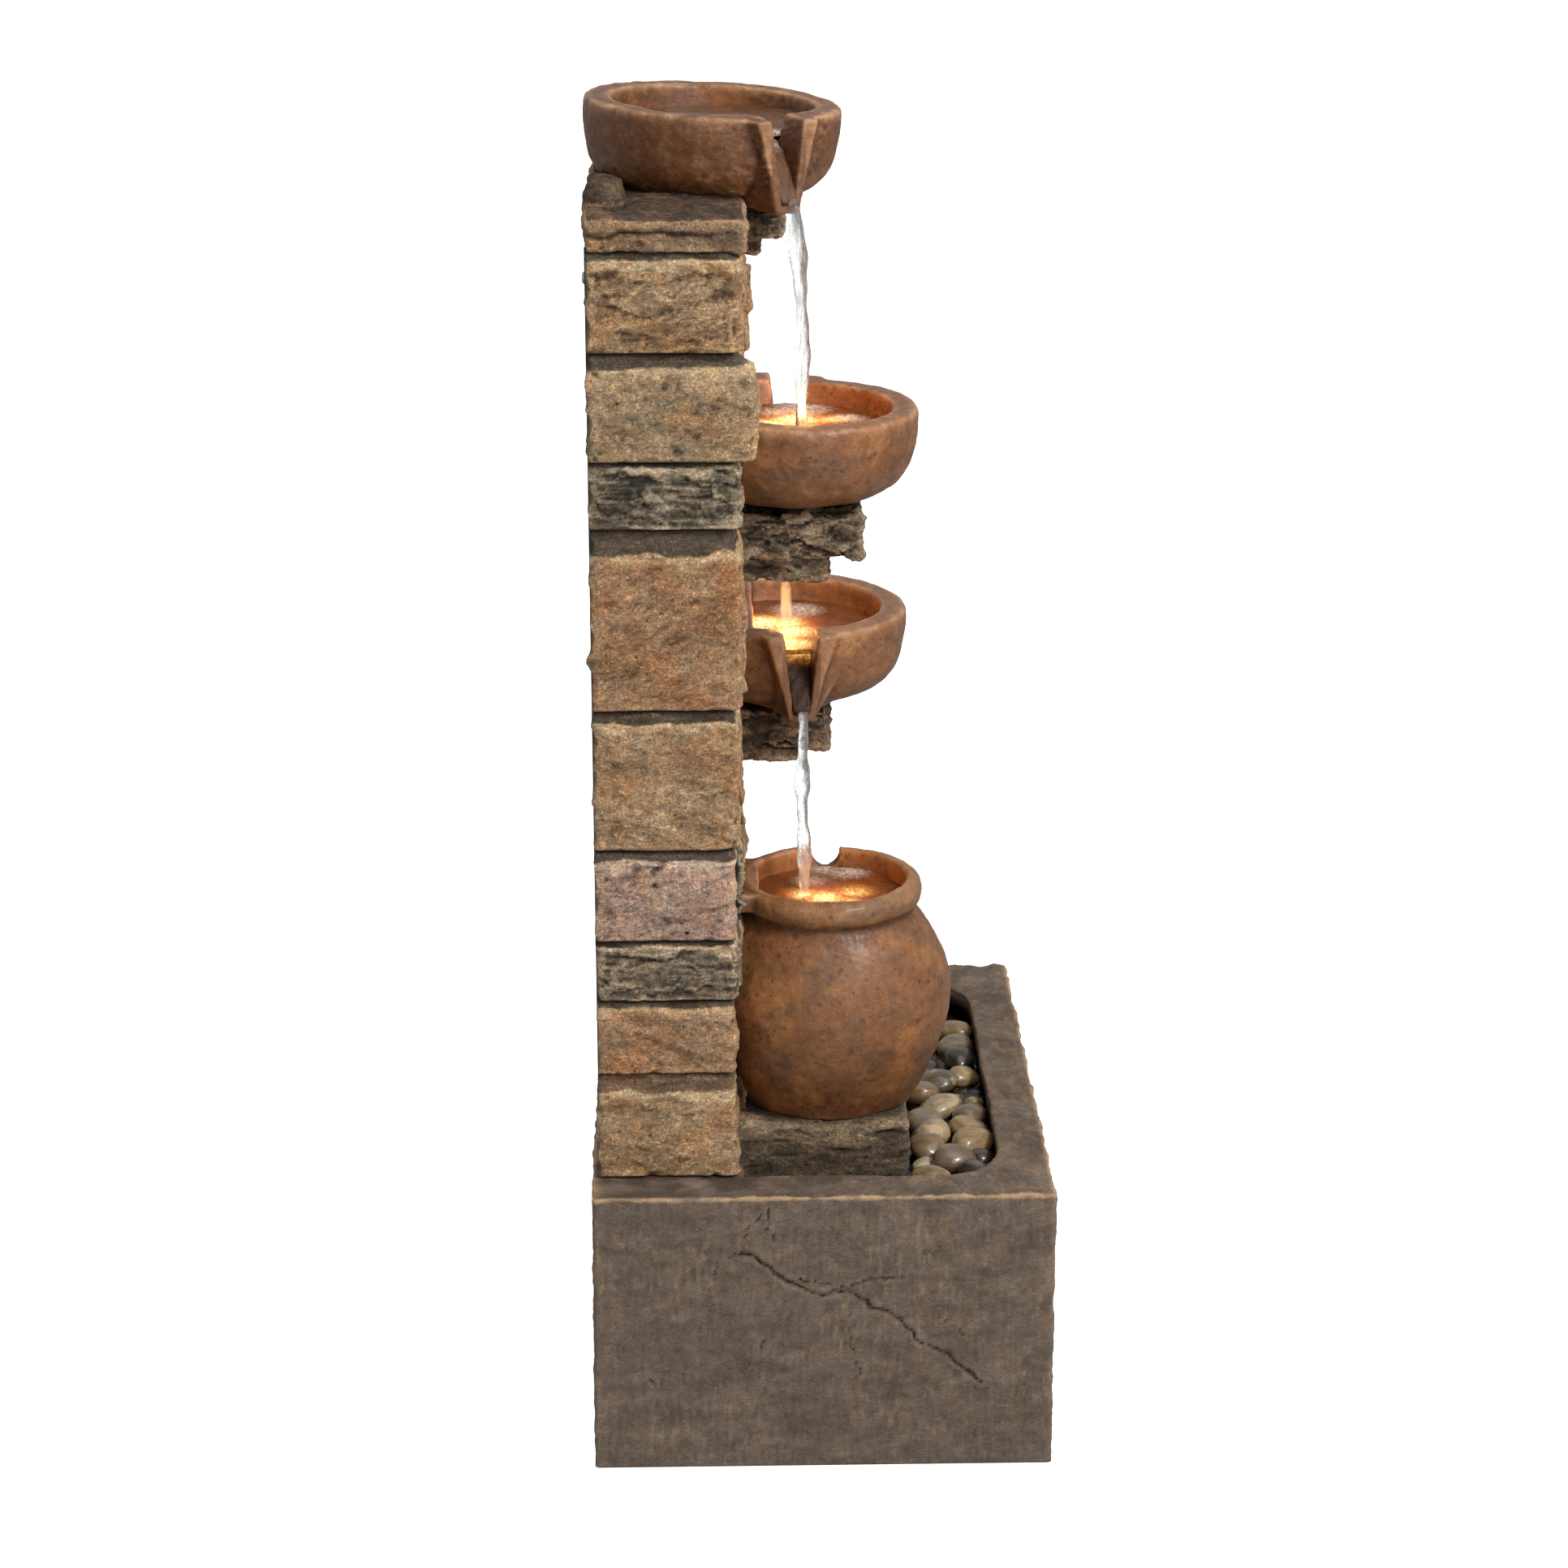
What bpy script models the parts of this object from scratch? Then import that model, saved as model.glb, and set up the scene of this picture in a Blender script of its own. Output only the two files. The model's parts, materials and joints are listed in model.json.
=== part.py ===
"""A cascading water fountain, built as separate pieces at its real size.

A stone-patterned wall stands at the back of a rectangular basin. Water is pumped up inside
the wall to a bowl on its top, falls from spout to spout through two more bowls and into a
pot, and runs back over pebbles into the basin. Metres, +Z up, the front faces -Y, and the
origin is at the middle of the footprint on the floor.
"""

import math
import random

import bmesh
import bpy
from mathutils import Matrix, Vector

GAP = 0.0003  # clearance between pieces that touch

# Basin
BASE_WIDTH = 0.396
BASE_DEPTH = 0.290
BASE_HEIGHT = 0.1855
BASE_TAPER = 0.001  # how far each side leans in from floor to top
BASE_WALL = 0.009
DECK_THICKNESS = 0.012
POOL_X = (-0.164, 0.163)
POOL_Y = (-0.113, 0.0500)
POOL_CORNER = 0.040
TRAY_Z = (0.1480, 0.1515)

# Wall of stone courses
WALL_HALF_WIDTH = 0.160
WALL_FRONT = 0.0505
WALL_BACK = 0.1415
WALL_TOP = 0.790
CAVITY_HALF_WIDTH = 0.138
CAVITY_FRONT = 0.068
CAVITY_TOP = 0.765
PANEL_HALF_WIDTH = 0.1475
PANEL_Y = (0.1340, 0.1400)
PANEL_TOP = 0.7745
CORNER_STONE_INNER = 0.118
# Each course: bottom, top, how far it stands out at the side, and its front face
COURSES = [
    (0.1860, 0.2440, 0.0070, 0.0530),
    (0.2550, 0.3010, 0.0055, 0.0545),
    (0.3035, 0.3410, 0.0045, 0.0520),
    (0.3430, 0.3965, 0.0060, 0.0540),
    (0.4017, 0.4845, 0.0055, 0.0510),
    (0.4907, 0.5889, 0.0055, 0.0500),
    (0.6030, 0.6420, 0.0040, 0.0515),
    (0.6440, 0.7017, 0.0080, 0.0410),
    (0.7090, 0.7680, 0.0050, 0.0510),
    (0.7700, 0.7900, 0.0065, 0.0450),
]
# opposite corners of the small stones that stand out of the wall's front
FRONT_STONES = [
    ((0.045, 0.0400, 0.693), (0.105, 0.060, 0.711)),
    ((0.050, 0.0450, 0.668), (0.110, 0.060, 0.690)),
]

# Bowls: all three are the same turned form
BOWL_RADIUS = 0.079
BOWL_HEIGHT = 0.058
BOWL_FLOOR = 0.043  # depth of the inside below the rim
BOWL_SEGMENTS = 36
BOWL_BACK_WALL = 0.010  # of a bowl that is flattened against the wall
BOWL_WALL_PLANE = 0.0500
TOP_BOWL = (-0.016, 0.0643, 0.8354)
MIDDLE_BOWL = (-0.050, 0.0176, 0.6550)
LOWER_BOWL = (0.045, 0.0188, 0.4998)
# Rise of the rim for each metre towards the back, as the bowls lean a little forward
TOP_TILT = 0.057
MIDDLE_TILT = 0.036
LOWER_TILT = 0.008
# Direction of each spout, turned from +X towards +Y
TOP_SPOUT = math.radians(213)
MIDDLE_SPOUT = math.radians(0)
LOWER_SPOUT = math.radians(186)

# Pot
POT = (-0.085, -0.0054)
POT_FOOT = 0.2128
POT_RIM = 0.3580
POT_FLOOR = 0.2850
POT_NOTCH_WIDTH = 0.017
POT_NOTCH_DEPTH = 0.0135
PLINTH_X = (-0.143, -0.020)
PLINTH_FRONT = -0.056
PLINTH_TOP = 0.2125
PLINTH_WALL = 0.009

# Pump, with its impeller turning about X
PUMP_X = (-0.028, 0.036)
PUMP_Y = (0.078, 0.122)
PUMP_Z = (0.0215, 0.0700)
IMPELLER_Y = 0.100
IMPELLER_Z = 0.044
NOZZLE_X = -0.021
NOZZLE_RADIUS = 0.0062
NOZZLE_TOP = 0.092

# Riser from the pump to the top bowl
RISER = (-0.016, 0.080)
RISER_OUTER = 0.0085
RISER_WALL = 0.0018
SHANK_RADIUS = 0.0060
BORE_RADIUS = 0.0035

# Lights
LIGHT_RADIUS = 0.0115
LIGHT_HEIGHT = 0.0075
LENS_RADIUS = 0.0085
LEAD_RADIUS = 0.0014
POWER_LEAD_RADIUS = 0.0022
SPLITTER_LOW = (0.056, 0.103, 0.3430)
SPLITTER_HIGH = (0.088, 0.121, 0.3870)
GLAND = (0.110, 0.215)

DOOR_HALF_WIDTH = 0.0695
DOOR_Z = (0.2055, 0.3245)
DOOR_Y = (0.1345, 0.1395)

parts = bpy.data.collections.new("water_fountain")
cutters = bpy.data.collections.new("cutters")


def clear_scene():
    for obj in list(bpy.data.objects):
        bpy.data.objects.remove(obj, do_unlink=True)
    bpy.context.scene.collection.children.link(parts)
    bpy.context.scene.collection.children.link(cutters)


def material(name, color, roughness, metallic=0.0):
    """A Principled material, made once for each name."""
    found = bpy.data.materials.get(name)
    if found:
        return found
    made = bpy.data.materials.new(name)
    made.use_nodes = True
    shader = made.node_tree.nodes["Principled BSDF"]
    shader.inputs["Base Color"].default_value = (*color, 1.0)
    shader.inputs["Roughness"].default_value = roughness
    shader.inputs["Metallic"].default_value = metallic
    made.diffuse_color = (*color, 1.0)
    return made


def finished(name, bm, finish=None):
    """The bmesh as a named object: a part if it has a finish, or else a cutter."""
    bmesh.ops.recalc_face_normals(bm, faces=bm.faces)
    mesh = bpy.data.meshes.new(name)
    bm.to_mesh(mesh)
    bm.free()
    return registered(bpy.data.objects.new(name, mesh), finish)


def registered(obj, finish):
    """Links the object as a part with its finish, or as a hidden cutter."""
    if finish:
        obj.data.materials.append(finish)
        parts.objects.link(obj)
    else:
        cutters.objects.link(obj)
        obj.hide_render = True
        obj.display_type = "WIRE"
    return obj


def add_bevel(obj, width):
    bevel = obj.modifiers.new("Bevel", "BEVEL")
    bevel.width = width
    bevel.segments = 1
    bevel.limit_method = "ANGLE"
    return obj


def box(name, low, high, finish=None, bevel=0.0):
    """A block between two corners."""
    bm = bmesh.new()
    bmesh.ops.create_cube(bm, size=1.0)
    low, high = Vector(low), Vector(high)
    size = high - low
    bmesh.ops.scale(bm, vec=size, verts=bm.verts)
    bmesh.ops.translate(bm, vec=(low + high) / 2, verts=bm.verts)
    obj = finished(name, bm, finish)
    return add_bevel(obj, bevel) if bevel else obj


def tapered(name, bottom, top, finish=None, matrix=None):
    """A block whose bottom and top are given as (low x, low y, high x, high y, z) each;
    z may be a pair, for the inner and the outer edge along x."""
    bm = bmesh.new()
    bmesh.ops.create_cube(bm, size=2.0)
    for vert in bm.verts:
        low_x, low_y, high_x, high_y, z = top if vert.co.z > 0 else bottom
        inner_z, outer_z = z if isinstance(z, tuple) else (z, z)
        outer = vert.co.x > 0
        vert.co.x = high_x if outer else low_x
        vert.co.y = high_y if vert.co.y > 0 else low_y
        vert.co.z = outer_z if outer else inner_z
    if matrix:
        bmesh.ops.transform(bm, matrix=matrix, verts=bm.verts)
    return finished(name, bm, finish)


def turned(name, profile, finish=None, segments=24, matrix=None, ring=False):
    """A form turned about Z. The profile runs from the top down its outer side; a ring's
    profile is a closed loop that stays off the axis."""
    bm = bmesh.new()
    points = [bm.verts.new((radius, 0.0, z)) for radius, z in profile]
    pairs = list(zip(points, points[1:]))
    if ring:
        pairs.append((points[-1], points[0]))
    for pair in pairs:
        bm.edges.new(pair)
    mesh = bpy.data.meshes.new(name)
    bm.to_mesh(mesh)
    bm.free()
    obj = registered(bpy.data.objects.new(name, mesh), finish)
    screw = obj.modifiers.new("Screw", "SCREW")
    screw.steps = segments
    screw.render_steps = segments
    screw.use_merge_vertices = True
    screw.merge_threshold = 0.0001
    screw.use_smooth_shade = True
    if matrix:
        obj.matrix_world = matrix
    return obj


def rod(name, start, end, radius, finish=None, segments=12):
    """A plain cylinder from start to end."""
    start, end = Vector(start), Vector(end)
    axis = end - start
    bm = bmesh.new()
    bmesh.ops.create_cone(
        bm, cap_ends=True, segments=segments, radius1=radius, radius2=radius, depth=axis.length
    )
    turn = axis.to_track_quat("Z", "Y").to_matrix().to_4x4()
    place = Matrix.Translation((start + end) / 2) @ turn
    bmesh.ops.transform(bm, matrix=place, verts=bm.verts)
    return finished(name, bm, finish)


def boolean(obj, tool, operation):
    modifier = obj.modifiers.new(operation.title(), "BOOLEAN")
    modifier.operation = operation
    modifier.object = tool
    return obj


def cut(obj, *tools):
    for tool in tools:
        boolean(obj, tool, "DIFFERENCE")
    return obj


def join(obj, *tools):
    for tool in tools:
        boolean(obj, tool, "UNION")
    return obj


def facing(axis, origin):
    """A frame at origin whose Z is the given axis."""
    turn = Vector(axis).to_track_quat("Z", "Y").to_matrix().to_4x4()
    return Matrix.Translation(origin) @ turn


def smooth_route(points, spacing):
    """Points about every spacing along a Catmull-Rom curve through the route's points."""
    points = [Vector(p) for p in points]
    ends = [2 * points[0] - points[1], *points, 2 * points[-1] - points[-2]]
    route = []
    for before, start, end, after in zip(ends, ends[1:], ends[2:], ends[3:]):
        steps = max(1, round((end - start).length / spacing))
        for step in range(steps):
            t = step / steps
            route.append(
                0.5
                * (
                    2 * start
                    + (end - before) * t
                    + (2 * before - 5 * start + 4 * end - after) * t**2
                    + (3 * start - before - 3 * end + after) * t**3
                )
            )
    return [*route, points[-1]]


def tube(name, points, radius, finish, spacing, wall=0.0):
    """A round lead along a route, or a hollow hose if it has a wall."""
    curve = bpy.data.curves.new(name, "CURVE")
    curve.dimensions = "3D"
    curve.bevel_depth = radius
    curve.bevel_resolution = 2
    curve.use_fill_caps = not wall
    route = smooth_route(points, spacing)
    spline = curve.splines.new("POLY")
    spline.points.add(len(route) - 1)
    for point, place in zip(spline.points, route):
        point.co = (*place, 1.0)
    obj = registered(bpy.data.objects.new(name, curve), finish)
    if wall:
        solidify = obj.modifiers.new("Solidify", "SOLIDIFY")
        solidify.thickness = wall
        solidify.offset = -1.0
    return obj


# Finishes
BASE_RESIN = material("base_resin", (0.115, 0.090, 0.072), 0.80)
WALL_STONE = material("wall_stone", (0.330, 0.210, 0.115), 0.90)
LEDGE_STONE = material("ledge_stone", (0.130, 0.100, 0.075), 0.90)
TERRACOTTA = material("terracotta", (0.300, 0.120, 0.045), 0.55)
PEBBLE = material("pebble", (0.330, 0.280, 0.220), 0.25)
BLACK_PLASTIC = material("black_plastic", (0.020, 0.020, 0.022), 0.45)
GREY_PLASTIC = material("grey_plastic", (0.120, 0.120, 0.125), 0.50)
RUBBER = material("rubber", (0.030, 0.030, 0.030), 0.75)
CABLE = material("cable", (0.015, 0.015, 0.016), 0.50)
VINYL = material("vinyl", (0.650, 0.700, 0.700), 0.20)
LENS = material("light_lens", (1.000, 0.800, 0.420), 0.15)
STEEL = material("steel", (0.550, 0.550, 0.560), 0.35, 1.0)
CERAMIC = material("ceramic", (0.850, 0.850, 0.830), 0.30)


def make_basin():
    """The tub, with a pool opening in front of the wall and a service opening inside it."""
    half_w, half_d = BASE_WIDTH / 2, BASE_DEPTH / 2
    top_w, top_d = half_w - BASE_TAPER, half_d - BASE_TAPER
    tub = tapered(
        "base_basin",
        (-half_w, -half_d, half_w, half_d, 0.0),
        (-top_w, -top_d, top_w, top_d, BASE_HEIGHT),
        BASE_RESIN,
    )
    add_bevel(tub, 0.0025)
    hollow = box(
        "cut_reservoir",
        (BASE_WALL - half_w, BASE_WALL - half_d, BASE_WALL),
        (half_w - BASE_WALL, half_d - BASE_WALL, BASE_HEIGHT - DECK_THICKNESS),
    )
    through = (BASE_HEIGHT - 2 * DECK_THICKNESS, BASE_HEIGHT + DECK_THICKNESS)
    pool = box(
        "cut_pool", (POOL_X[0], POOL_Y[0], through[0]), (POOL_X[1], POOL_Y[1], through[1])
    )
    round_front_corners(pool)
    service = box(
        "cut_service",
        (-CAVITY_HALF_WIDTH, CAVITY_FRONT + 0.004, through[0]),
        (CAVITY_HALF_WIDTH, PANEL_Y[0] - 0.006, through[1]),
    )
    cut(tub, hollow, pool, service)


def round_front_corners(pool):
    bm = bmesh.new()
    bm.from_mesh(pool.data)
    upright = [
        edge
        for edge in bm.edges
        if abs(edge.verts[0].co.z - edge.verts[1].co.z) > GAP and edge.verts[0].co.y < 0
    ]
    bmesh.ops.bevel(
        bm, geom=upright, offset=POOL_CORNER, segments=5, profile=0.5, affect="EDGES"
    )
    bm.to_mesh(pool.data)
    bm.free()


def make_pebble_tray():
    """A slotted shelf on legs that holds the pebbles at the water line."""
    low_z, high_z = TRAY_Z
    tray = box("pebble_tray", (-0.160, -0.109, low_z), (0.159, 0.047, high_z), BLACK_PLASTIC)
    legs = [(-0.153, -0.086), (0.000, -0.103), (0.152, -0.086), (0.152, 0.040), (0.020, 0.040)]
    for index, (x, y) in enumerate(legs):
        foot = (x - 0.005, y - 0.005, BASE_WALL + GAP)
        join(tray, box(f"join_tray_leg_{index}", foot, (x + 0.005, y + 0.005, low_z + 0.001)))
    corner = 0.030
    for index, x in enumerate((-0.160, 0.159)):
        # the tray's front corners are cut across to follow the pool's round corners
        clip = box(f"cut_tray_corner_{index}", (-corner, -corner, -0.01), (corner, corner, 0.01))
        turn = Matrix.Rotation(math.radians(45), 4, "Z")
        clip.matrix_world = Matrix.Translation((x, -0.128, high_z)) @ turn
        cut(tray, clip)
    plinth_low = (PLINTH_X[0] - 0.001, PLINTH_FRONT - 0.001, low_z - 0.01)
    cut(tray, box("cut_tray_plinth", plinth_low, (PLINTH_X[1] + 0.001, 0.06, high_z + 0.01)))
    for index in range(5):
        x = 0.012 + 0.029 * index
        slot = box(f"cut_tray_slot_{index}", (x, -0.045, 0.14), (x + 0.004, 0.025, 0.16))
        cut(tray, slot)
    for index in range(6):
        x = -0.120 + 0.046 * index
        slot = box(f"cut_tray_front_slot_{index}", (x, -0.088, 0.14), (x + 0.030, -0.084, 0.16))
        cut(tray, slot)


def make_plinth():
    """The stone block under the pot, open below so that water passes round it."""
    low = (PLINTH_X[0], PLINTH_FRONT, BASE_WALL + GAP)
    high = (PLINTH_X[1], BOWL_WALL_PLANE - GAP, PLINTH_TOP)
    plinth = box("pot_plinth", low, high, LEDGE_STONE, bevel=0.003)
    wall = PLINTH_WALL
    hollow_low = (low[0] + wall, low[1] + wall, 0.0)
    hollow_high = (high[0] - wall, high[1] - wall, high[2] - wall)
    cut(plinth, box("cut_plinth_hollow", hollow_low, hollow_high))


def make_wall():
    """The hollow wall: a core with proud corner stones at each course, open behind and below."""
    bottom = BASE_HEIGHT + GAP
    wall = box(
        "stone_wall",
        (-WALL_HALF_WIDTH, WALL_FRONT, bottom),
        (WALL_HALF_WIDTH, WALL_BACK, WALL_TOP - 0.001),
        WALL_STONE,
    )
    stones = bpy.data.collections.new("wall_stones")
    cutters.children.link(stones)
    for index, (low_z, high_z, proud, front) in enumerate(COURSES):
        outer = WALL_HALF_WIDTH + proud
        # alternate courses reach further in, as bonded corner stones do
        inner = CORNER_STONE_INNER + 0.012 * (index % 2)
        for side in (-1, 1):
            xs = sorted((side * inner, side * outer))
            name = f"join_course_{index}_{'right' if side > 0 else 'left'}"
            stone = box(name, (xs[0], front, low_z), (xs[1], WALL_BACK, high_z), bevel=0.003)
            cutters.objects.unlink(stone)
            stones.objects.link(stone)
    # small stones that stand out of the front, to the right of the middle bowl
    for index, (low, high) in enumerate(FRONT_STONES):
        stone = box(f"join_front_stone_{index}", low, high, bevel=0.002)
        cutters.objects.unlink(stone)
        stones.objects.link(stone)
    union = wall.modifiers.new("Stones", "BOOLEAN")
    union.operation = "UNION"
    union.operand_type = "COLLECTION"
    union.collection = stones
    cavity = box(
        "cut_wall_cavity",
        (-CAVITY_HALF_WIDTH, CAVITY_FRONT, BASE_HEIGHT - 0.01),
        (CAVITY_HALF_WIDTH, PANEL_Y[0] + 0.001, CAVITY_TOP),
    )
    recess = box(
        "cut_panel_recess",
        (-PANEL_HALF_WIDTH - GAP, PANEL_Y[0] - GAP, BASE_HEIGHT - 0.01),
        (PANEL_HALF_WIDTH + GAP, WALL_BACK + 0.01, PANEL_TOP + GAP),
    )
    seat = turned(
        "cut_bowl_seat",
        outer_bowl_profile(clearance=0.0006),
        segments=BOWL_SEGMENTS,
        matrix=bowl_frame(TOP_BOWL, TOP_TILT),
    )
    x, y = RISER
    riser_hole = rod("cut_riser_hole", (x, y, 0.75), (x, y, 0.80), SHANK_RADIUS + 0.0008)
    cut(wall, cavity, recess, seat, riser_hole)
    for index, (x, z) in enumerate(light_lead_holes()):
        hole = rod(f"cut_lead_hole_{index}", (x, 0.045, z), (x, 0.075, z), 0.0056, segments=10)
        cut(wall, hole)
    for index, (x, z) in enumerate(panel_screw_places()):
        hole = rod(f"cut_pilot_{index}", (x, 0.126, z), (x, 0.136, z), 0.0022, segments=8)
        cut(wall, hole)


def panel_screw_places():
    x = (CAVITY_HALF_WIDTH + PANEL_HALF_WIDTH) / 2
    return [(-x, 0.205), (x, 0.205), (-x, 0.750), (x, 0.750)]


def light_places():
    """The centre of each light's foot, on the floor of its bowl or pot."""
    lift = 0.0016
    middle_z = MIDDLE_BOWL[2] - BOWL_FLOOR + lift
    lower_z = LOWER_BOWL[2] - BOWL_FLOOR + lift
    return {
        "middle_bowl": (MIDDLE_BOWL[0], MIDDLE_BOWL[1], middle_z),
        "lower_bowl": (LOWER_BOWL[0], LOWER_BOWL[1], lower_z),
        "pot": (POT[0], POT[1], POT_FLOOR + lift),
    }


def light_lead_holes():
    """Where each light's lead goes through the wall: x and z."""
    return [(x, z + LIGHT_HEIGHT / 2) for x, y, z in light_places().values()]


def outer_bowl_profile(clearance=0.0):
    """The outside of a bowl from the middle of its rim plane down to its foot, rim at z = 0."""
    points = [(0.0765, 0.0), (0.0790, -0.0025), (0.0790, -0.0140), (0.0775, -0.0260)]
    points += [(0.0745, -0.0365), (0.0675, -0.0460), (0.0560, -0.0530), (0.0420, -0.0570)]
    spread = [(radius + clearance, z - clearance) for radius, z in points]
    return [(0.0, -clearance), *spread, (0.0, -BOWL_HEIGHT - clearance)]


def inner_bowl_profile():
    """The hollow of a bowl, run a little above the rim so that it cuts cleanly."""
    points = [(0.0640, 0.0100), (0.0640, 0.0), (0.0625, -0.0020), (0.0605, -0.0120)]
    points += [(0.0560, -0.0240), (0.0470, -0.0340), (0.0340, -0.0405), (0.0200, -BOWL_FLOOR)]
    return [(0.0, 0.0100), *points, (0.0, -BOWL_FLOOR)]


def bowl_frame(centre, tilt, turn=0.0):
    """At the middle of the rim, leaning forward by the tilt and turned about the bowl's axis."""
    lean = Matrix.Rotation(math.atan(tilt), 4, "X")
    return Matrix.Translation(centre) @ lean @ Matrix.Rotation(turn, 4, "Z")


def make_bowl(name, centre, tilt, spout, against_wall):
    frame = bowl_frame(centre, tilt)
    spout_frame = bowl_frame(centre, tilt, spout)
    bowl = turned(
        name, outer_bowl_profile(), TERRACOTTA, segments=BOWL_SEGMENTS, matrix=frame
    )
    # two cheeks that stand out of the bowl and meet in a tip at the level of its foot
    tip = -BOWL_HEIGHT + 0.0030
    cheeks = tapered(
        f"join_{name}_spout",
        (0.040, -0.0080, 0.0870, 0.0080, tip),
        (0.055, -0.0215, 0.0825, 0.0215, -0.0004),
        matrix=spout_frame,
    )
    hollow = turned(
        f"cut_{name}_hollow", inner_bowl_profile(), segments=BOWL_SEGMENTS, matrix=frame
    )
    gutter = tapered(
        f"cut_{name}_gutter",
        (0.040, -0.0085, 0.1100, 0.0030, (-0.0190, -0.0640)),
        (0.040, -0.0125, 0.1100, 0.0125, 0.0080),
        matrix=spout_frame,
    )
    for vert in gutter.data.vertices:
        # the gutter narrows evenly towards its tip on both sides
        local = spout_frame.inverted() @ vert.co
        if local.z < 0 and local.x < 0.05:
            local.y = math.copysign(0.0085, local.y)
        elif local.z < 0:
            local.y = math.copysign(0.0030, local.y)
        vert.co = spout_frame @ local
    join(bowl, cheeks)
    if against_wall:
        reach = 2 * BOWL_RADIUS
        low = (centre[0] - reach, BOWL_WALL_PLANE, centre[2] - reach)
        high = (centre[0] + reach, BOWL_WALL_PLANE + reach, centre[2] + reach)
        behind = box(f"cut_{name}_back", low, high)
        inner_low = (low[0], BOWL_WALL_PLANE - BOWL_BACK_WALL, low[2])
        cut(hollow, box(f"cut_{name}_hollow_back", inner_low, high))
        cut(bowl, behind)
    cut(bowl, hollow, gutter)
    return bowl


def make_bowls():
    top = make_bowl("top_bowl", TOP_BOWL, TOP_TILT, TOP_SPOUT, False)
    middle = make_bowl("middle_bowl", MIDDLE_BOWL, MIDDLE_TILT, MIDDLE_SPOUT, True)
    lower = make_bowl("lower_bowl", LOWER_BOWL, LOWER_TILT, LOWER_SPOUT, True)
    x, y = RISER
    cut(top, rod("cut_top_bowl_riser", (x, y, 0.77), (x, y, 0.80), SHANK_RADIUS + 0.0006))
    for bowl, (x, z) in zip((middle, lower), light_lead_holes()):
        hole = rod(f"cut_{bowl.name}_lead", (x, 0.030, z), (x, 0.060, z), 0.0030, segments=10)
        cut(bowl, hole)


def make_pot():
    """A wide-bellied pot: a cup at the top over an open skirt, notched at its right for overflow."""
    x, y = POT
    frame = Matrix.Translation((x, y, 0.0))
    lip = [(0.0493, POT_RIM - 0.0010), (0.0520, POT_RIM), (0.0560, POT_RIM - 0.0010)]
    lip += [(0.0590, 0.3540), (0.0600, 0.3495), (0.0588, 0.3445), (0.0562, 0.3405)]
    belly = [(0.0560, 0.3360), (0.0625, 0.3275), (0.0705, 0.3130), (0.0762, 0.2980)]
    belly += [(0.0780, 0.2830), (0.0765, 0.2660), (0.0715, 0.2460), (0.0640, 0.2285)]
    cup = [(0.0, POT_FLOOR), (0.0430, POT_FLOOR), (0.0470, 0.2900), (0.0478, 0.3350)]
    foot = [(0.0560, POT_FOOT), (0.0, POT_FOOT)]
    pot = turned("overflow_pot", [*cup, *lip, *belly, *foot], TERRACOTTA, 36, frame)
    skirt_profile = [(0.0, 0.2750), (0.0640, 0.2750), (0.0675, 0.2650), (0.0630, 0.2450)]
    skirt_profile += [(0.0470, POT_FOOT - 0.01), (0.0, POT_FOOT - 0.01)]
    skirt = turned("cut_pot_skirt", skirt_profile, None, 24, frame)
    back_low = (x - 0.1, BOWL_WALL_PLANE - BOWL_BACK_WALL, 0.1)
    cut(skirt, box("cut_pot_skirt_back", back_low, (x + 0.1, 0.2, 0.5)))
    behind = box("cut_pot_back", (x - 0.1, BOWL_WALL_PLANE, 0.1), (x + 0.1, 0.2, 0.5))
    half = POT_NOTCH_WIDTH / 2
    notch_z = POT_RIM - POT_NOTCH_DEPTH + half
    trough = rod("cut_pot_notch_round", (x + 0.03, y, notch_z), (x + 0.09, y, notch_z), half)
    slot = box("cut_pot_notch", (x + 0.03, y - half, notch_z), (x + 0.09, y + half, 0.37))
    lead_x, lead_z = light_lead_holes()[2]
    hole = rod("cut_pot_lead", (lead_x, 0.035, lead_z), (lead_x, 0.06, lead_z), 0.003, segments=10)
    cut(pot, behind, skirt, trough, slot, hole)


def make_ledges():
    """Pairs of rough stones that carry the bowls out from the wall."""
    back = BOWL_WALL_PLANE - GAP
    stones = [
        ("top_ledge_stone", (-0.060, 0.0210, 0.7555), (0.040, back, 0.7740)),
        ("top_ledge_lower_stone", (-0.045, 0.0356, 0.7450), (0.025, back, 0.7550)),
        ("middle_ledge_stone", (-0.100, -0.0250, 0.5670), (0.000, back, 0.5945)),
        ("middle_ledge_lower_stone", (-0.092, -0.0050, 0.5514), (-0.008, back, 0.5665)),
        ("lower_ledge_stone", (-0.005, -0.0080, 0.4130), (0.095, back, 0.4405)),
        ("lower_ledge_lower_stone", (0.004, 0.0080, 0.4036), (0.086, back, 0.4125)),
    ]
    for name, low, high in stones:
        box(name, low, high, LEDGE_STONE, bevel=0.002)


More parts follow.
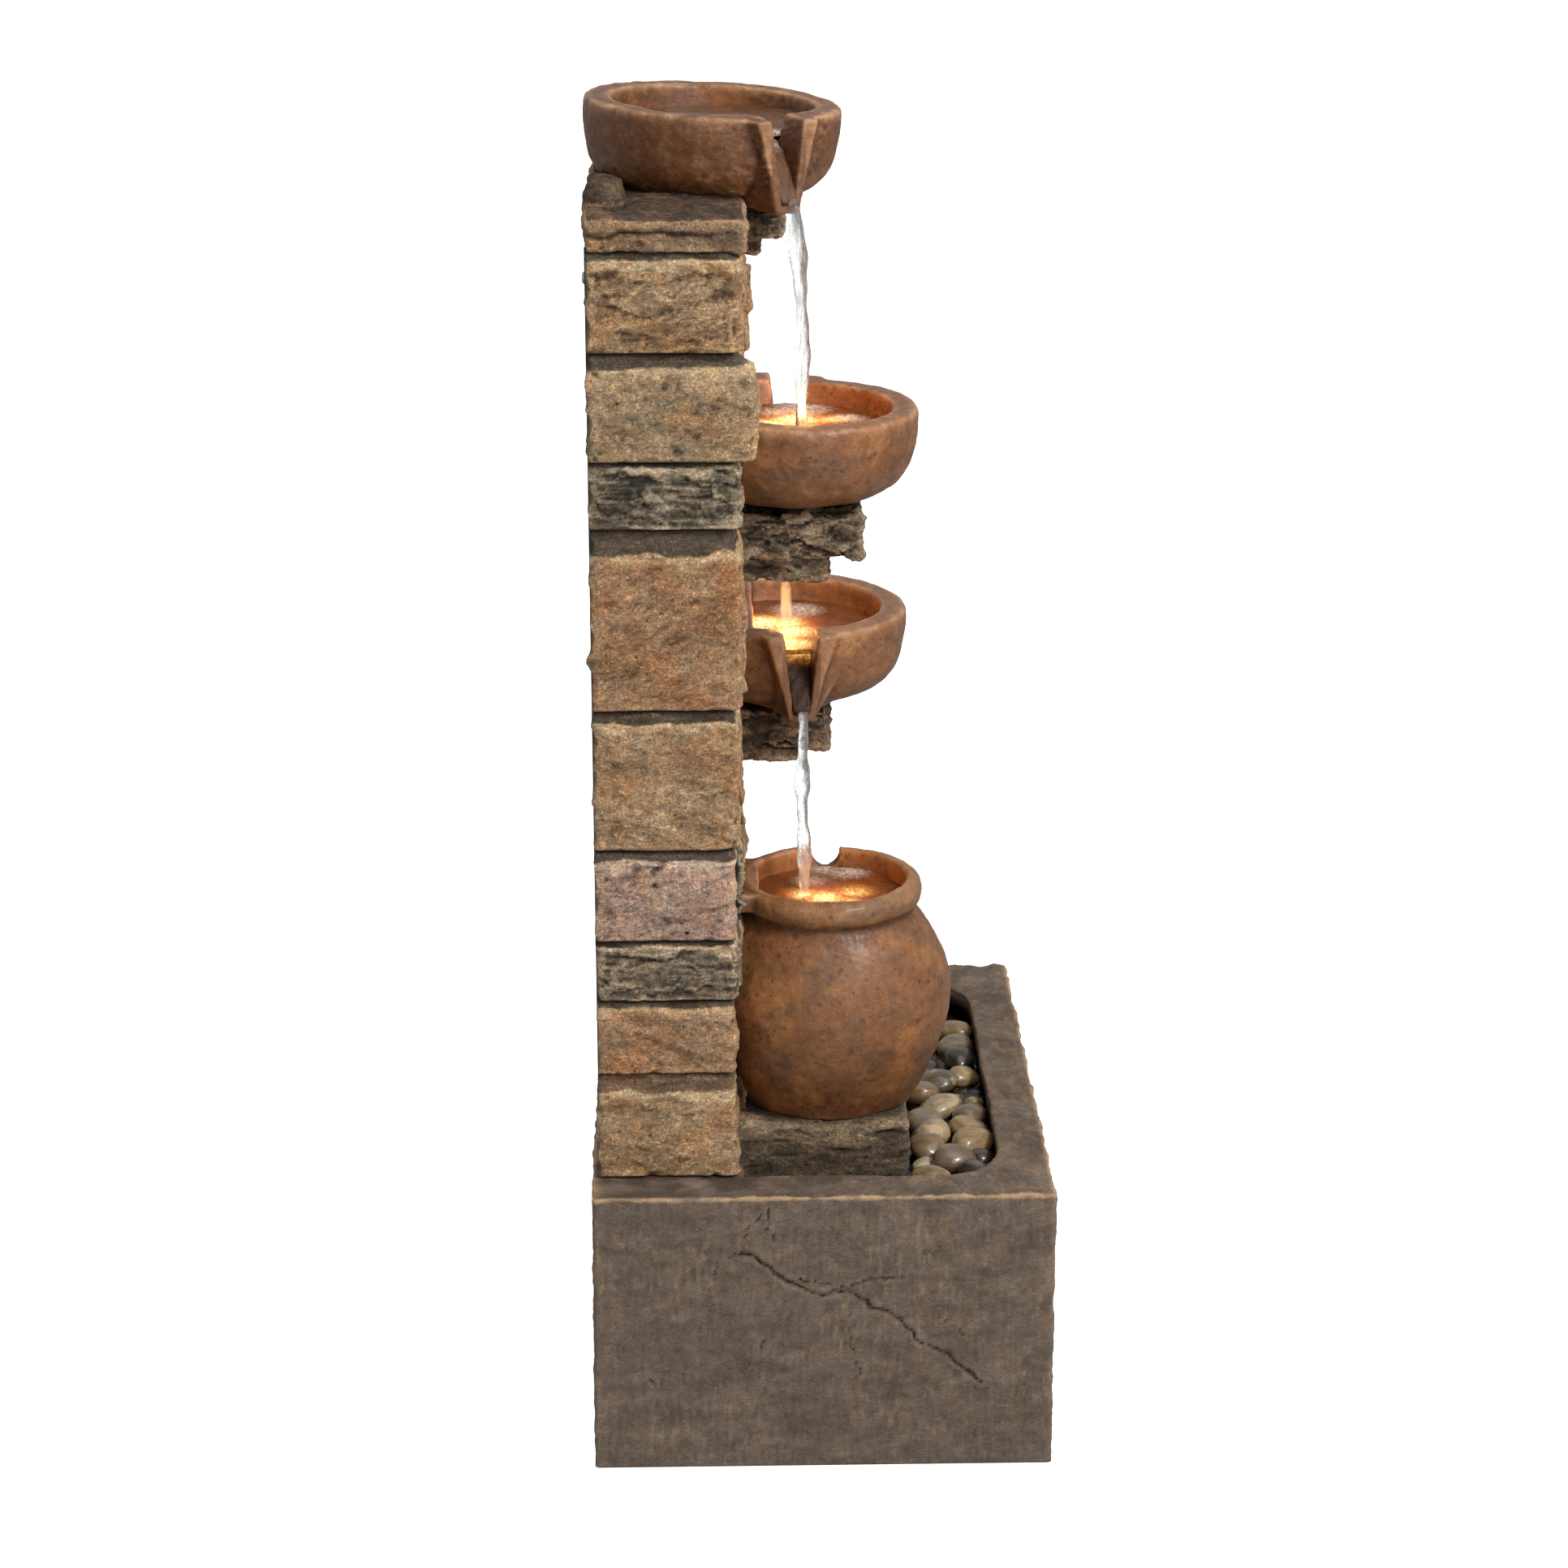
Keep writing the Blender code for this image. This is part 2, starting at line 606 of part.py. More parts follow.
def make_back_panel():
    """The removable back of the wall, with its screws and a pull-off access door."""
    low = (-PANEL_HALF_WIDTH, PANEL_Y[0], BASE_HEIGHT + 2 * GAP)
    high = (PANEL_HALF_WIDTH, PANEL_Y[1], PANEL_TOP)
    panel = box("back_panel", low, high, BASE_RESIN)
    margin = 0.0005
    opening = box(
        "cut_access_opening",
        (-DOOR_HALF_WIDTH - margin, 0.12, DOOR_Z[0] - margin),
        (DOOR_HALF_WIDTH + margin, 0.15, DOOR_Z[1] + margin),
    )
    x, z = GLAND
    gland_hole = rod("cut_gland_hole", (x, 0.12, z), (x, 0.15, z), 0.0066)
    cut(panel, opening, gland_hole)
    door = box(
        "access_door",
        (-DOOR_HALF_WIDTH, DOOR_Y[0], DOOR_Z[0]),
        (DOOR_HALF_WIDTH, DOOR_Y[1], DOOR_Z[1]),
        BASE_RESIN,
    )
    pull = box("join_door_pull", (-0.022, DOOR_Y[1] - 0.002, 0.262), (0.022, 0.1440, 0.268))
    vent = box("cut_door_lead_notch", (0.052, 0.12, 0.2), (0.060, 0.15, 0.2115))
    join(door, pull)
    cut(door, vent)
    head = [(0.0, 0.0017), (0.0026, 0.0017), (0.0038, 0.0007), (0.0038, 0.0)]
    shank = [(0.0018, 0.0), (0.0018, -0.0105), (0.0, -0.0125)]
    for index, (x, z) in enumerate(panel_screw_places()):
        cut(panel, rod(f"cut_screw_{index}", (x, 0.12, z), (x, 0.15, z), 0.0023, segments=8))
        place = facing((0, 1, 0), (x, PANEL_Y[1] + GAP, z))
        turned(f"back_panel_screw_{index + 1}", head + shank, STEEL, 8, place)


def make_pump():
    """A small submersible pump: magnet-driven impeller on a ceramic shaft, behind a strainer."""
    body = box(
        "pump_body",
        (PUMP_X[0], PUMP_Y[0], PUMP_Z[0]),
        (PUMP_X[1], PUMP_Y[1], PUMP_Z[1]),
        BLACK_PLASTIC,
        bevel=0.003,
    )
    y, z = IMPELLER_Y, IMPELLER_Z
    nozzle = rod(
        "join_pump_nozzle", (NOZZLE_X, y, 0.065), (NOZZLE_X, y, NOZZLE_TOP), NOZZLE_RADIUS
    )
    volute = rod("cut_volute", (-0.035, y, z), (-0.014, y, z), 0.0165, segments=20)
    rotor_well = rod("cut_rotor_well", (-0.020, y, z), (0.014, y, z), 0.0090, segments=16)
    bore = rod("cut_nozzle_bore", (NOZZLE_X, y, 0.055), (NOZZLE_X, y, 0.1), BORE_RADIUS)
    join(body, nozzle)
    cut(body, volute, rotor_well, bore)

    impeller = rod("impeller", (-0.0150, y, z), (0.0125, y, z), 0.0078, GREY_PLASTIC, 16)
    join(impeller, rod("join_impeller_disc", (-0.0182, y, z), (-0.0148, y, z), 0.0145))
    for index in range(2):
        blade = box(f"join_blade_{index}", (-0.0255, -0.014, -0.0011), (-0.0170, 0.014, 0.0011))
        turn = Matrix.Rotation(math.radians(90 * index), 4, "X")
        blade.matrix_world = Matrix.Translation((0, y, z)) @ turn
        join(impeller, blade)
    cut(impeller, rod("cut_impeller_bore", (-0.03, y, z), (0.02, y, z), 0.0018, segments=10))
    rod("impeller_shaft", (-0.0278, y, z), (0.0137, y, z), 0.0012, CERAMIC, 10)

    cover_x = (PUMP_X[0] - GAP - 0.0032, PUMP_X[0] - GAP)
    cover = box(
        "volute_cover", (cover_x[0], y - 0.020, z - 0.020), (cover_x[1], y + 0.020, z + 0.020),
        GREY_PLASTIC,
    )
    cut(cover, rod("cut_intake", (-0.04, y, z), (-0.02, y, z), 0.0070, segments=16))

    outer_x = (-0.0500, cover_x[0] - GAP)
    strainer = box(
        "strainer_cover",
        (outer_x[0], PUMP_Y[0], PUMP_Z[0] + 0.001),
        (outer_x[1], PUMP_Y[1], PUMP_Z[1] - 0.001),
        BLACK_PLASTIC,
    )
    skin = 0.002
    inside = box(
        "cut_strainer_inside",
        (outer_x[0] + skin, PUMP_Y[0] + skin, PUMP_Z[0] + 0.001 + skin),
        (outer_x[1] + 0.01, PUMP_Y[1] - skin, PUMP_Z[1] - 0.001 - skin),
    )
    cut(strainer, inside)
    for index, offset in enumerate((-0.0165, -0.0120, 0.0120, 0.0165)):
        low = (-0.06, y + offset - 0.0011, z - 0.015)
        slot = box(f"cut_strainer_slot_{index}", low, (-0.04, low[1] + 0.0022, z + 0.015))
        cut(strainer, slot)

    # the dial's stem passes through the strainer's end and is held by a collar inside
    cut(strainer, rod("cut_dial_hole", (-0.052, y, z), (-0.046, y, z), 0.0030, segments=12))
    dial = rod("flow_dial", (-0.0545, y, z), (-0.0503, y, z), 0.0080, GREY_PLASTIC, 16)
    stem = rod("join_dial_stem", (-0.0510, y, z), (-0.0470, y, z), 0.0025)
    collar = rod("join_dial_collar", (-0.0476, y, z), (-0.0460, y, z), 0.0045)
    grip_low, grip_high = (-0.0575, y - 0.0068, z - 0.0012), (-0.0535, y + 0.0068, z + 0.0012)
    join(dial, stem, collar, box("join_dial_grip", grip_low, grip_high))

    cup = [(0.0, 0.0122), (0.0038, 0.0122), (0.0038, 0.0075), (0.0092, 0.0010), (0.0092, 0.0)]
    cup += [(0.0078, 0.0), (0.0, 0.0030)]
    corners = [(x, y) for x in (-0.018, 0.026) for y in (0.088, 0.112)]
    for index, (x, y) in enumerate(corners):
        place = Matrix.Translation((x, y, BASE_WALL + 0.0002))
        turned(f"suction_cup_{index + 1}", cup, RUBBER, 12, place)


def make_riser():
    """The hose inside the wall, and the fitting that brings the water into the top bowl."""
    x, y = RISER
    route = [(NOZZLE_X, IMPELLER_Y, 0.0740), (NOZZLE_X, IMPELLER_Y, 0.1000)]
    route += [(-0.020, 0.0960, 0.1500), (-0.017, 0.0850, 0.2300), (x, 0.0805, 0.3300)]
    route += [(x, y, 0.4700), (x, y, 0.6200), (x, y, 0.7300), (x, y, 0.7630)]
    tube("riser_hose", route, RISER_OUTER, VINYL, spacing=0.035, wall=RISER_WALL)
    flange, top = 0.7948, 0.8060
    loop = [(BORE_RADIUS, top), (0.0052, top), (0.0056, flange + 0.0030)]
    loop += [(0.0100, flange + 0.0030), (0.0100, flange), (SHANK_RADIUS, flange)]
    loop += [(SHANK_RADIUS, 0.7480), (BORE_RADIUS, 0.7480)]
    turned("riser_fitting", loop, BLACK_PLASTIC, 16, Matrix.Translation((x, y, 0)), ring=True)


def make_lights():
    """A sealed light at the bottom of the two lower bowls and of the pot."""
    wall = 0.0015
    well = LENS_RADIUS + 0.0004
    shell = [(well, LIGHT_HEIGHT), (LIGHT_RADIUS - 0.0010, LIGHT_HEIGHT)]
    shell += [(LIGHT_RADIUS, LIGHT_HEIGHT - 0.0010), (LIGHT_RADIUS, 0.0), (0.0, 0.0)]
    shell = [(0.0, 0.0030), (well, 0.0030), *shell]
    dome = [(0.0, LIGHT_HEIGHT + wall), (0.0045, LIGHT_HEIGHT + 0.0010)]
    dome += [(LENS_RADIUS, LIGHT_HEIGHT - 0.0010), (LENS_RADIUS, 0.0033), (0.0, 0.0033)]
    # each grommet is pushed into the wall from inside the cavity
    grommet = [(0.0019, 0.0), (0.0019, -0.0172), (0.0052, -0.0172), (0.0052, -0.0023)]
    grommet += [(0.0076, -0.0023), (0.0076, 0.0)]
    for name, (x, y, z) in light_places().items():
        place = Matrix.Translation((x, y, z))
        turned(f"{name}_light_housing", shell, BLACK_PLASTIC, 16, place)
        turned(f"{name}_light_lens", dome, LENS, 16, place)
        inside = facing((0, 1, 0), (x, CAVITY_FRONT + 0.0026, z + LIGHT_HEIGHT / 2))
        turned(f"{name}_lead_grommet", grommet[::-1], RUBBER, 10, inside, ring=True)


def make_leads():
    """Low-voltage leads from the lights and the pump to one moulded splitter, and on to the gland."""
    box("lead_splitter", SPLITTER_LOW, SPLITTER_HIGH, BLACK_PLASTIC, bevel=0.002)
    above, below = SPLITTER_HIGH[2] + GAP, SPLITTER_LOW[2] - GAP
    runs = {
        "middle_bowl": [(-0.047, 0.095, 0.605), (-0.030, 0.112, 0.560), (0.010, 0.114, 0.490),
                        (0.048, 0.113, 0.435), (0.062, 0.112, 0.405), (0.062, 0.112, above)],
        "lower_bowl": [(0.049, 0.092, 0.455), (0.062, 0.107, 0.435), (0.076, 0.112, 0.408),
                       (0.078, 0.112, above)],
        "pot": [(-0.080, 0.094, 0.296), (-0.058, 0.111, 0.306), (-0.010, 0.115, 0.316),
                (0.040, 0.115, 0.316), (0.059, 0.113, 0.326), (0.062, 0.112, below)],
    }
    for name, (x, y, z) in light_places().items():
        level = z + LIGHT_HEIGHT / 2
        start = [(x, y + LIGHT_RADIUS + GAP, level), (x, 0.045, level), (x, 0.074, level)]
        tube(f"{name}_light_lead", start + runs[name], LEAD_RADIUS, CABLE, spacing=0.024)
    pump_run = [(PUMP_X[1] + GAP, 0.100, 0.050), (0.047, 0.100, 0.051), (0.062, 0.101, 0.066)]
    pump_run += [(0.072, 0.105, 0.120), (0.076, 0.110, 0.210), (0.073, 0.112, 0.300)]
    pump_run += [(0.072, 0.112, below)]
    tube("pump_lead", pump_run, POWER_LEAD_RADIUS, CABLE, spacing=0.024)
    x, z = GLAND
    supply_run = [(0.081, 0.112, below), (0.083, 0.112, 0.318), (0.096, 0.111, 0.270)]
    supply_run += [(0.106, 0.112, 0.232), (x, 0.119, z + 0.004), (x, 0.128, z), (x, 0.1390, z)]
    tube("supply_lead", supply_run, POWER_LEAD_RADIUS, CABLE, spacing=0.018)
    nut_y, flange_y = PANEL_Y[0] - GAP, PANEL_Y[1] + GAP
    bore, neck, rim = 0.0034, 0.0062, 0.0100
    loop = [(bore, 0.1436), (neck, 0.1436), (rim, flange_y + 0.0016), (rim, flange_y)]
    loop += [(neck, flange_y), (neck, nut_y), (rim, nut_y), (rim, 0.1290), (bore, 0.1290)]
    turned("cord_gland", loop, BLACK_PLASTIC, 16, facing((0, 1, 0), (x, 0, z)), ring=True)


def make_pebbles():
    """River pebbles lying in two rows along the front of the pool."""
    draw = random.Random(11)
    columns, pitch = 6, 0.045
    for index in range(2 * columns):
        row, column = divmod(index, columns)
        half = Vector((draw.uniform(0.0125, 0.0145), draw.uniform(0.0095, 0.0112), 0.0))
        half.z = draw.uniform(0.0078, 0.0095)
        x = -0.118 + pitch * column + 0.010 * row
        y = -0.0955 + 0.026 * row
        bm = bmesh.new()
        bmesh.ops.create_icosphere(bm, subdivisions=1, radius=1.0)
        turn = Matrix.Rotation(draw.uniform(-0.3, 0.3), 4, "Z")
        place = Matrix.Translation((x, y, TRAY_Z[1] + GAP + half.z)) @ turn
        bmesh.ops.transform(bm, matrix=place @ Matrix.Diagonal((*half, 1.0)), verts=bm.verts)
        pebble = finished(f"pebble_{index + 1:02d}", bm, PEBBLE)
        pebble.data.shade_smooth()


def main():
    clear_scene()
    make_basin()
    make_pebble_tray()
    make_plinth()
    make_wall()
    make_bowls()
    make_pot()
    make_ledges()
    make_back_panel()
    make_pump()
    make_riser()
    make_lights()
    make_leads()
    make_pebbles()


main()
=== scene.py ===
"""The looks of a cascading fountain: cast stone, worn terracotta, wet pebbles and lit water."""

import functools
import json
import math
from collections import namedtuple

import bmesh
import bpy
import numpy as np
from mathutils import Euler, Matrix, Vector


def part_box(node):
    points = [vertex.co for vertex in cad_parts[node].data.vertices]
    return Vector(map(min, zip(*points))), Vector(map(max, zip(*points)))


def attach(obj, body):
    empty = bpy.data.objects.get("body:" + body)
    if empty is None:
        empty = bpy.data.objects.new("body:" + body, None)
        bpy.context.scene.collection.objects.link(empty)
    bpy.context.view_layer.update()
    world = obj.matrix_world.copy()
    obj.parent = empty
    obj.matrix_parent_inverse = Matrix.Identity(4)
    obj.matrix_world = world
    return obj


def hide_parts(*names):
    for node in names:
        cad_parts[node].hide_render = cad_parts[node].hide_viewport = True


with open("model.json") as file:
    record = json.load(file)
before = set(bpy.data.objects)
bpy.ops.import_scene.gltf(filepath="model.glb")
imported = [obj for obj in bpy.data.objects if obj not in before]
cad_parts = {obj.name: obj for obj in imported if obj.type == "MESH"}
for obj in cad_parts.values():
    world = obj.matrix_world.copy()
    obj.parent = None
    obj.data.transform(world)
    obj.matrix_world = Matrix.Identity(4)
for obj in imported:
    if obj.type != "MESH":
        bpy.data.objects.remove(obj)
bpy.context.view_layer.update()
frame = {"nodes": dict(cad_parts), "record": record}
NODES = frame["nodes"]

# Driving places and sizes, in metres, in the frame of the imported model
BASE_LOW, BASE_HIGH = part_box("base_basin")
WALL_BACK_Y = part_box("stone_wall")[1].y
WALL_SIDE = 0.160  # half the width of the wall between its stones
JOINT_Y = 0.0560  # how deep the joints lie in the front
PANEL_EDGE_X, PANEL_SEAT_Y = 0.1485, 0.1335  # the seat of the back panel
CAVITY_X, CAVITY_Y = 0.138, 0.068  # the inside of the wall
COURSES_TOP = 0.7690
BOWL_RADIUS, BOWL_HEIGHT = 0.079, 0.058
BOWL_BACK_Y = 0.0400  # the inside of a bowl's back plate
SET_IN_Y = 0.0570  # how far bowls and ledges are set into the wall
LEDGE_BACK_Y = 0.0497  # where the ledges end in the CAD model
# the heights of the water
SURFACES = {"top_bowl": 0.8230, "middle_bowl": 0.6400, "lower_bowl": 0.4850, "pot": 0.3450}
# the V of a spout: where it starts and ends along the spout, its floor and half its width there,
# and the height and half the width of its open top
GUTTER_U, GUTTER_FLOOR, GUTTER_HALF = (0.040, 0.110), (-0.019, -0.064), (0.0085, 0.0030)
GUTTER_TOP, GUTTER_TOP_HALF = 0.0080, 0.0125
BOWLS = {
    "top_bowl": {"centre": (-0.016, 0.0643, 0.8354), "tilt": 0.057, "spout": 213.0, "seed": 11,
                 "tone": (0.70, 0.62, 0.45), "stained": 0.8},
    "middle_bowl": {"centre": (-0.050, 0.0176, 0.6550), "tilt": 0.036, "spout": 0.0, "seed": 23,
                    "tone": (1.0, 1.0, 1.0), "stained": 0.4},
    "lower_bowl": {"centre": (0.045, 0.0188, 0.4998), "tilt": 0.008, "spout": 186.0, "seed": 37,
                   "tone": (1.15, 1.28, 1.42), "stained": 0.3},
}
POT_CENTRE, POT_RIM, POT_FOOT, POT_FLOOR = Vector((-0.085, -0.0054)), 0.3580, 0.2128, 0.2850
POOL_X, POOL_Y, POOL_CORNER, POOL_WATER = (-0.164, 0.163), (-0.113, 0.0500), 0.040, 0.1695
DECK, SHELL, TRAY_TOP = 0.012, 0.009, 0.1515  # how thick the deck and the tub are; the tray
PLINTH_X, PLINTH_Y = -0.018, -0.058  # the pot's plinth fills the pool's corner at -X, +Y


# Noise, worked out for many points at once


def hashed(cells, seed):
    """A whole random number of 32 bits for each whole-numbered cell."""
    x, y, z = cells[:, 0], cells[:, 1], cells[:, 2]
    h = (x * 0x8DA6B343 + y * 0xD8163841 + z * 0xCB1AB31F + seed * 0x9E3779B1) & 0xFFFFFFFF
    for shift, factor in ((15, 0x2C1B3C6D), (12, 0x297A2D39)):
        h = ((h ^ (h >> shift)) * factor) & 0xFFFFFFFF
    return h ^ (h >> 15)


def triple(h):
    """Three numbers from -1 to 1 out of each random number."""
    return np.stack([((h >> shift) & 1023) / 511.5 - 1.0 for shift in (0, 10, 20)], axis=1)


def noise(points, size, seed):
    """Smooth noise of about -1 to 1 with features of a size, which may differ by axis."""
    scaled = points / np.asarray(size)
    cell = np.floor(scaled).astype(np.int64)
    inside = scaled - cell
    fade = inside**3 * (inside * (inside * 6 - 15) + 10)
    total = np.zeros(len(points))
    for corner in np.ndindex(2, 2, 2):
        slope = triple(hashed(cell + np.array(corner), seed))
        weight = np.prod(np.where(np.array(corner) == 1, fade, 1 - fade), axis=1)
        total += weight * ((inside - corner) * slope).sum(axis=1)
    return total * 1.7


def fractal(points, size, seed, octaves=4, gain=0.5):
    """Noise with finer noise on top, each octave half the size and gain times the height."""
    size = np.asarray(size, float)
    return sum(gain**k * noise(points, size / 2**k, seed + 7 * k) for k in range(octaves))


def ridges(points, size, seed, octaves=3, gain=0.5):
    """Sharp crests between soft hollows, 0 to about 1."""
    size = np.asarray(size, float)
    parts = [
        gain**k * (1 - np.abs(noise(points, size / 2**k, seed + 7 * k))) for k in range(octaves)
    ]
    return sum(parts) / sum(gain**k for k in range(octaves))


def pits(points, size, seed, share):
    """Round hollows, 0 outside them to 1 at their middles, in a share of cells of the size."""
    scaled = points / size
    cell = np.floor(scaled).astype(np.int64)
    depth = np.zeros(len(points))
    for offset in np.ndindex(3, 3, 3):
        near = cell + np.array(offset) - 1
        h = hashed(near, seed)
        centre = near + 0.5 + 0.35 * triple(h)
        chance = (hashed(near, seed + 1) & 0xFFFF) / 0xFFFF
        radius = 0.15 + 0.35 * (hashed(near, seed + 2) & 0xFFFF) / 0xFFFF
        gap = np.sqrt(((scaled - centre) ** 2).sum(axis=1)) / radius
        depth = np.maximum(depth, np.where(chance < share, 1 - gap, 0))
    return unit(depth * 1.8)


def facets(points, size, seed):
    """Flat plateaus with sharp steps between them, each -1 to 1."""
    scaled = points / np.asarray(size, float)
    cell = np.floor(scaled).astype(np.int64)
    nearest, level = np.full(len(points), 9.0), np.zeros(len(points))
    for offset in np.ndindex(3, 3, 3):
        near = cell + np.array(offset) - 1
        h = hashed(near, seed)
        spin = triple(h)
        gap = ((scaled - near - 0.5 - 0.48 * spin) ** 2).sum(axis=1)
        closer = gap < nearest
        nearest = np.where(closer, gap, nearest)
        level = np.where(closer, (hashed(near, seed + 1) & 0xFFFF) / 0x7FFF - 1.0, level)
    return level


def unit(value):
    """The value kept from 0 to 1."""
    return np.clip(value, 0, 1)


def ramp(value, low, high):
    """A smooth step from 0 at low to 1 at high."""
    t = unit((value - low) / (high - low))
    return t * t * (3 - 2 * t)


def bell(value, middle, width):
    """1 at the middle, falling to 0 on both sides of it."""
    return np.exp(-(((value - middle) / width) ** 2))


def flat_gap(points, x, y):
    """How far each point is from an upright line."""
    return np.hypot(points[:, 0] - x, points[:, 1] - y)


def varied(tint, amount, value):
    """The tint made lighter and darker where the value runs from 1 to -1."""
    return tint * (1 + amount * np.clip(value, -1, 1))[:, None]


def mixed(a, b, share):
    """The colours a moved towards b by a share for each point."""
    return a + (np.asarray(b) - a) * unit(share)[:, None]


# Meshes


def placed(name, data, place=(0, 0, 0)):
    """A new object of the scene."""
    obj = bpy.data.objects.new(name, data)
    obj.location = place
    bpy.context.scene.collection.objects.link(obj)
    return obj


def new_object(name, vertices, faces):
    mesh = bpy.data.meshes.new(name)
    mesh.from_pydata([tuple(v) for v in vertices], [], [tuple(f) for f in faces])
    return placed(name, mesh)


def ringed(name, rings):
    """A closed form through rings of equally many points, capped at the first and the last."""
    grid = np.array(rings, float)
    ids = np.arange(grid.shape[0] * grid.shape[1]).reshape(grid.shape[:2])
    beside = np.roll(ids, -1, axis=1)
    faces = np.stack([ids[:-1], beside[:-1], beside[1:], ids[1:]], axis=-1).reshape(-1, 4)
    return new_object(name, grid.reshape(-1, 3), [*faces, ids[0][::-1], ids[-1]])


def level_ring(loop, z):
    """Flat points lifted to a height."""
    return np.column_stack([loop, np.full(len(loop), z)])


def evaluated(obj):
    """Applies the modifiers of obj and removes their cutters."""
    tools = [m.object for m in obj.modifiers if m.type == "BOOLEAN"]
    bpy.context.view_layer.update()
    mesh = bpy.data.meshes.new_from_object(
        obj.evaluated_get(bpy.context.evaluated_depsgraph_get())
    )
    obj.modifiers.clear()
    obj.data = mesh
    for tool in tools:
        bpy.data.objects.remove(tool)
    return obj


def cut(obj, tool, operation="DIFFERENCE"):
    """Cuts the tool out of obj, or joins it on with UNION, when the modifiers are applied."""
    modifier = obj.modifiers.new(operation, "BOOLEAN")
    modifier.operation = operation
    modifier.object = tool
    tool.hide_render = True
    return obj


def remeshed(obj, voxel):
    remesh = obj.modifiers.new("Remesh", "REMESH")
    remesh.mode = "VOXEL"
    remesh.voxel_size = voxel
    return evaluated(obj)


def block(name, low, high):
    """A block between two corners."""
    corners = [
        (x, y, z) for x in (low[0], high[0]) for y in (low[1], high[1]) for z in (low[2], high[2])
    ]
    return new_object(name, corners, BLOCK_FACES)


BLOCK_FACES = [(0, 1, 3, 2), (4, 6, 7, 5), (0, 4, 5, 1), (2, 3, 7, 6), (0, 2, 6, 4), (1, 5, 7, 3)]


def oriented(obj):
    """Turns the faces outward."""
    bm = bmesh.new()
    bm.from_mesh(obj.data)
    bmesh.ops.recalc_face_normals(bm, faces=bm.faces)
    bm.to_mesh(obj.data)
    bm.free()
    return obj


def lofted(name, sections, place=Matrix()):
    """A closed form through sections, each a list of equally many corners, put in its place."""
    return oriented(ringed(name, [[place @ Vector(c) for c in section] for section in sections]))


def lathe(name, profile, segments, place):
    """A closed form turned about Z, from a profile that runs from axis to axis, top to bottom."""
    rings = [p for p in profile if p[0] > 0]
    vertices = []
    for radius, z in rings:
        for i in range(segments):
            angle = 2 * math.pi * i / segments
            vertices.append(
                place @ Vector((radius * math.cos(angle), radius * math.sin(angle), z))
            )
    faces = []
    for r in range(len(rings) - 1):
        for i in range(segments):
            j = (i + 1) % segments
            a, b = r * segments, (r + 1) * segments
            faces.append((a + i, b + i, b + j, a + j))
    faces.append(tuple(range(segments)))
    last = (len(rings) - 1) * segments
    faces.append(tuple(last + i for i in reversed(range(segments))))
    return new_object(name, vertices, faces)


def smooth_line(points, steps):
    """Points along a Catmull-Rom curve through the given ones."""
    points = [np.array(p, float) for p in points]
    ends = [2 * points[0] - points[1], *points, 2 * points[-1] - points[-2]]
    line = []
    for a, b, c, d in zip(ends, ends[1:], ends[2:], ends[3:]):
        for step in range(steps):
            t = step / steps
            bend = (2 * a - 5 * b + 4 * c - d) * t**2 + (3 * b - a - 3 * c + d) * t**3
            line.append(0.5 * (2 * b + (c - a) * t + bend))
    return [*line, points[-1]]


class Skin:
    """The points of a mesh as arrays, for sculpting and painting."""

    def __init__(self, obj):
        self.obj, self.mesh = obj, obj.data
        self.edges = np.zeros(len(self.mesh.edges) * 2, np.int32)
        self.mesh.edges.foreach_get("vertices", self.edges)
        self.edges = self.edges.reshape(-1, 2)
        self.points = np.zeros(len(self.mesh.vertices) * 3)
        self.mesh.vertices.foreach_get("co", self.points)
        self.points = self.points.reshape(-1, 3)
        ends = np.concatenate([self.edges[:, 0], self.edges[:, 1]])
        self.degree = np.maximum(np.bincount(ends, minlength=len(self.points)), 1)
        self.read_normals()

    def read_normals(self):
        self.normals = np.zeros(len(self.points) * 3, np.float32)
        self.mesh.vertex_normals.foreach_get("vector", self.normals)
        self.normals = self.normals.reshape(-1, 3).astype(float)

    def relaxed(self, values, steps, share=0.5):
        """Values averaged with those of their neighbours, some steps over."""
        values = values.copy()
        a, b = self.edges[:, 0], self.edges[:, 1]
        count = len(values)
        for _ in range(steps):
            columns = values.reshape(count, -1).T
            near = [
                np.bincount(a, c[b], count) + np.bincount(b, c[a], count) for c in columns
            ]
            mean = (np.stack(near, axis=1) / self.degree[:, None]).reshape(values.shape)
            values += share * (mean - values)
        return values

    def write(self, points):
        self.points = points
        self.mesh.vertices.foreach_set("co", points.astype(np.float32).ravel())
        self.mesh.update()
        self.read_normals()

    def push(self, amount):
        self.write(self.points + self.normals * amount[:, None])

    def relief(self, steps):
        """How far each point stands out of its surroundings, in metres."""
        return ((self.points - self.relaxed(self.points, steps, 0.8)) * self.normals).sum(axis=1)

    def paint(self, tint, name="tint"):
        if tint.ndim == 1:
            self.mesh.attributes.new(name, "FLOAT", "POINT").data.foreach_set(
                "value", tint.astype(np.float32)
            )
            return
        colour = np.ones((len(tint), 4), np.float32)
        colour[:, :3] = unit(tint)
        attribute = self.mesh.attributes.new(name, "FLOAT_COLOR", "POINT")
        attribute.data.foreach_set("color", colour.ravel())


def shaded(obj, material):
    obj.data.materials.clear()
    obj.data.materials.append(material)
    obj.data.polygons.foreach_set("use_smooth", np.ones(len(obj.data.polygons), bool))
    obj.data.update()
    return obj


def settled(obj, material, slot=None, *replaced, body="root"):
    """Makes obj a piece of the fountain: its material, its body and the nodes it stands for."""
    shaded(obj, material)
    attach(obj, body)
    if replaced:
        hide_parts(*replaced)
    return obj


# Materials


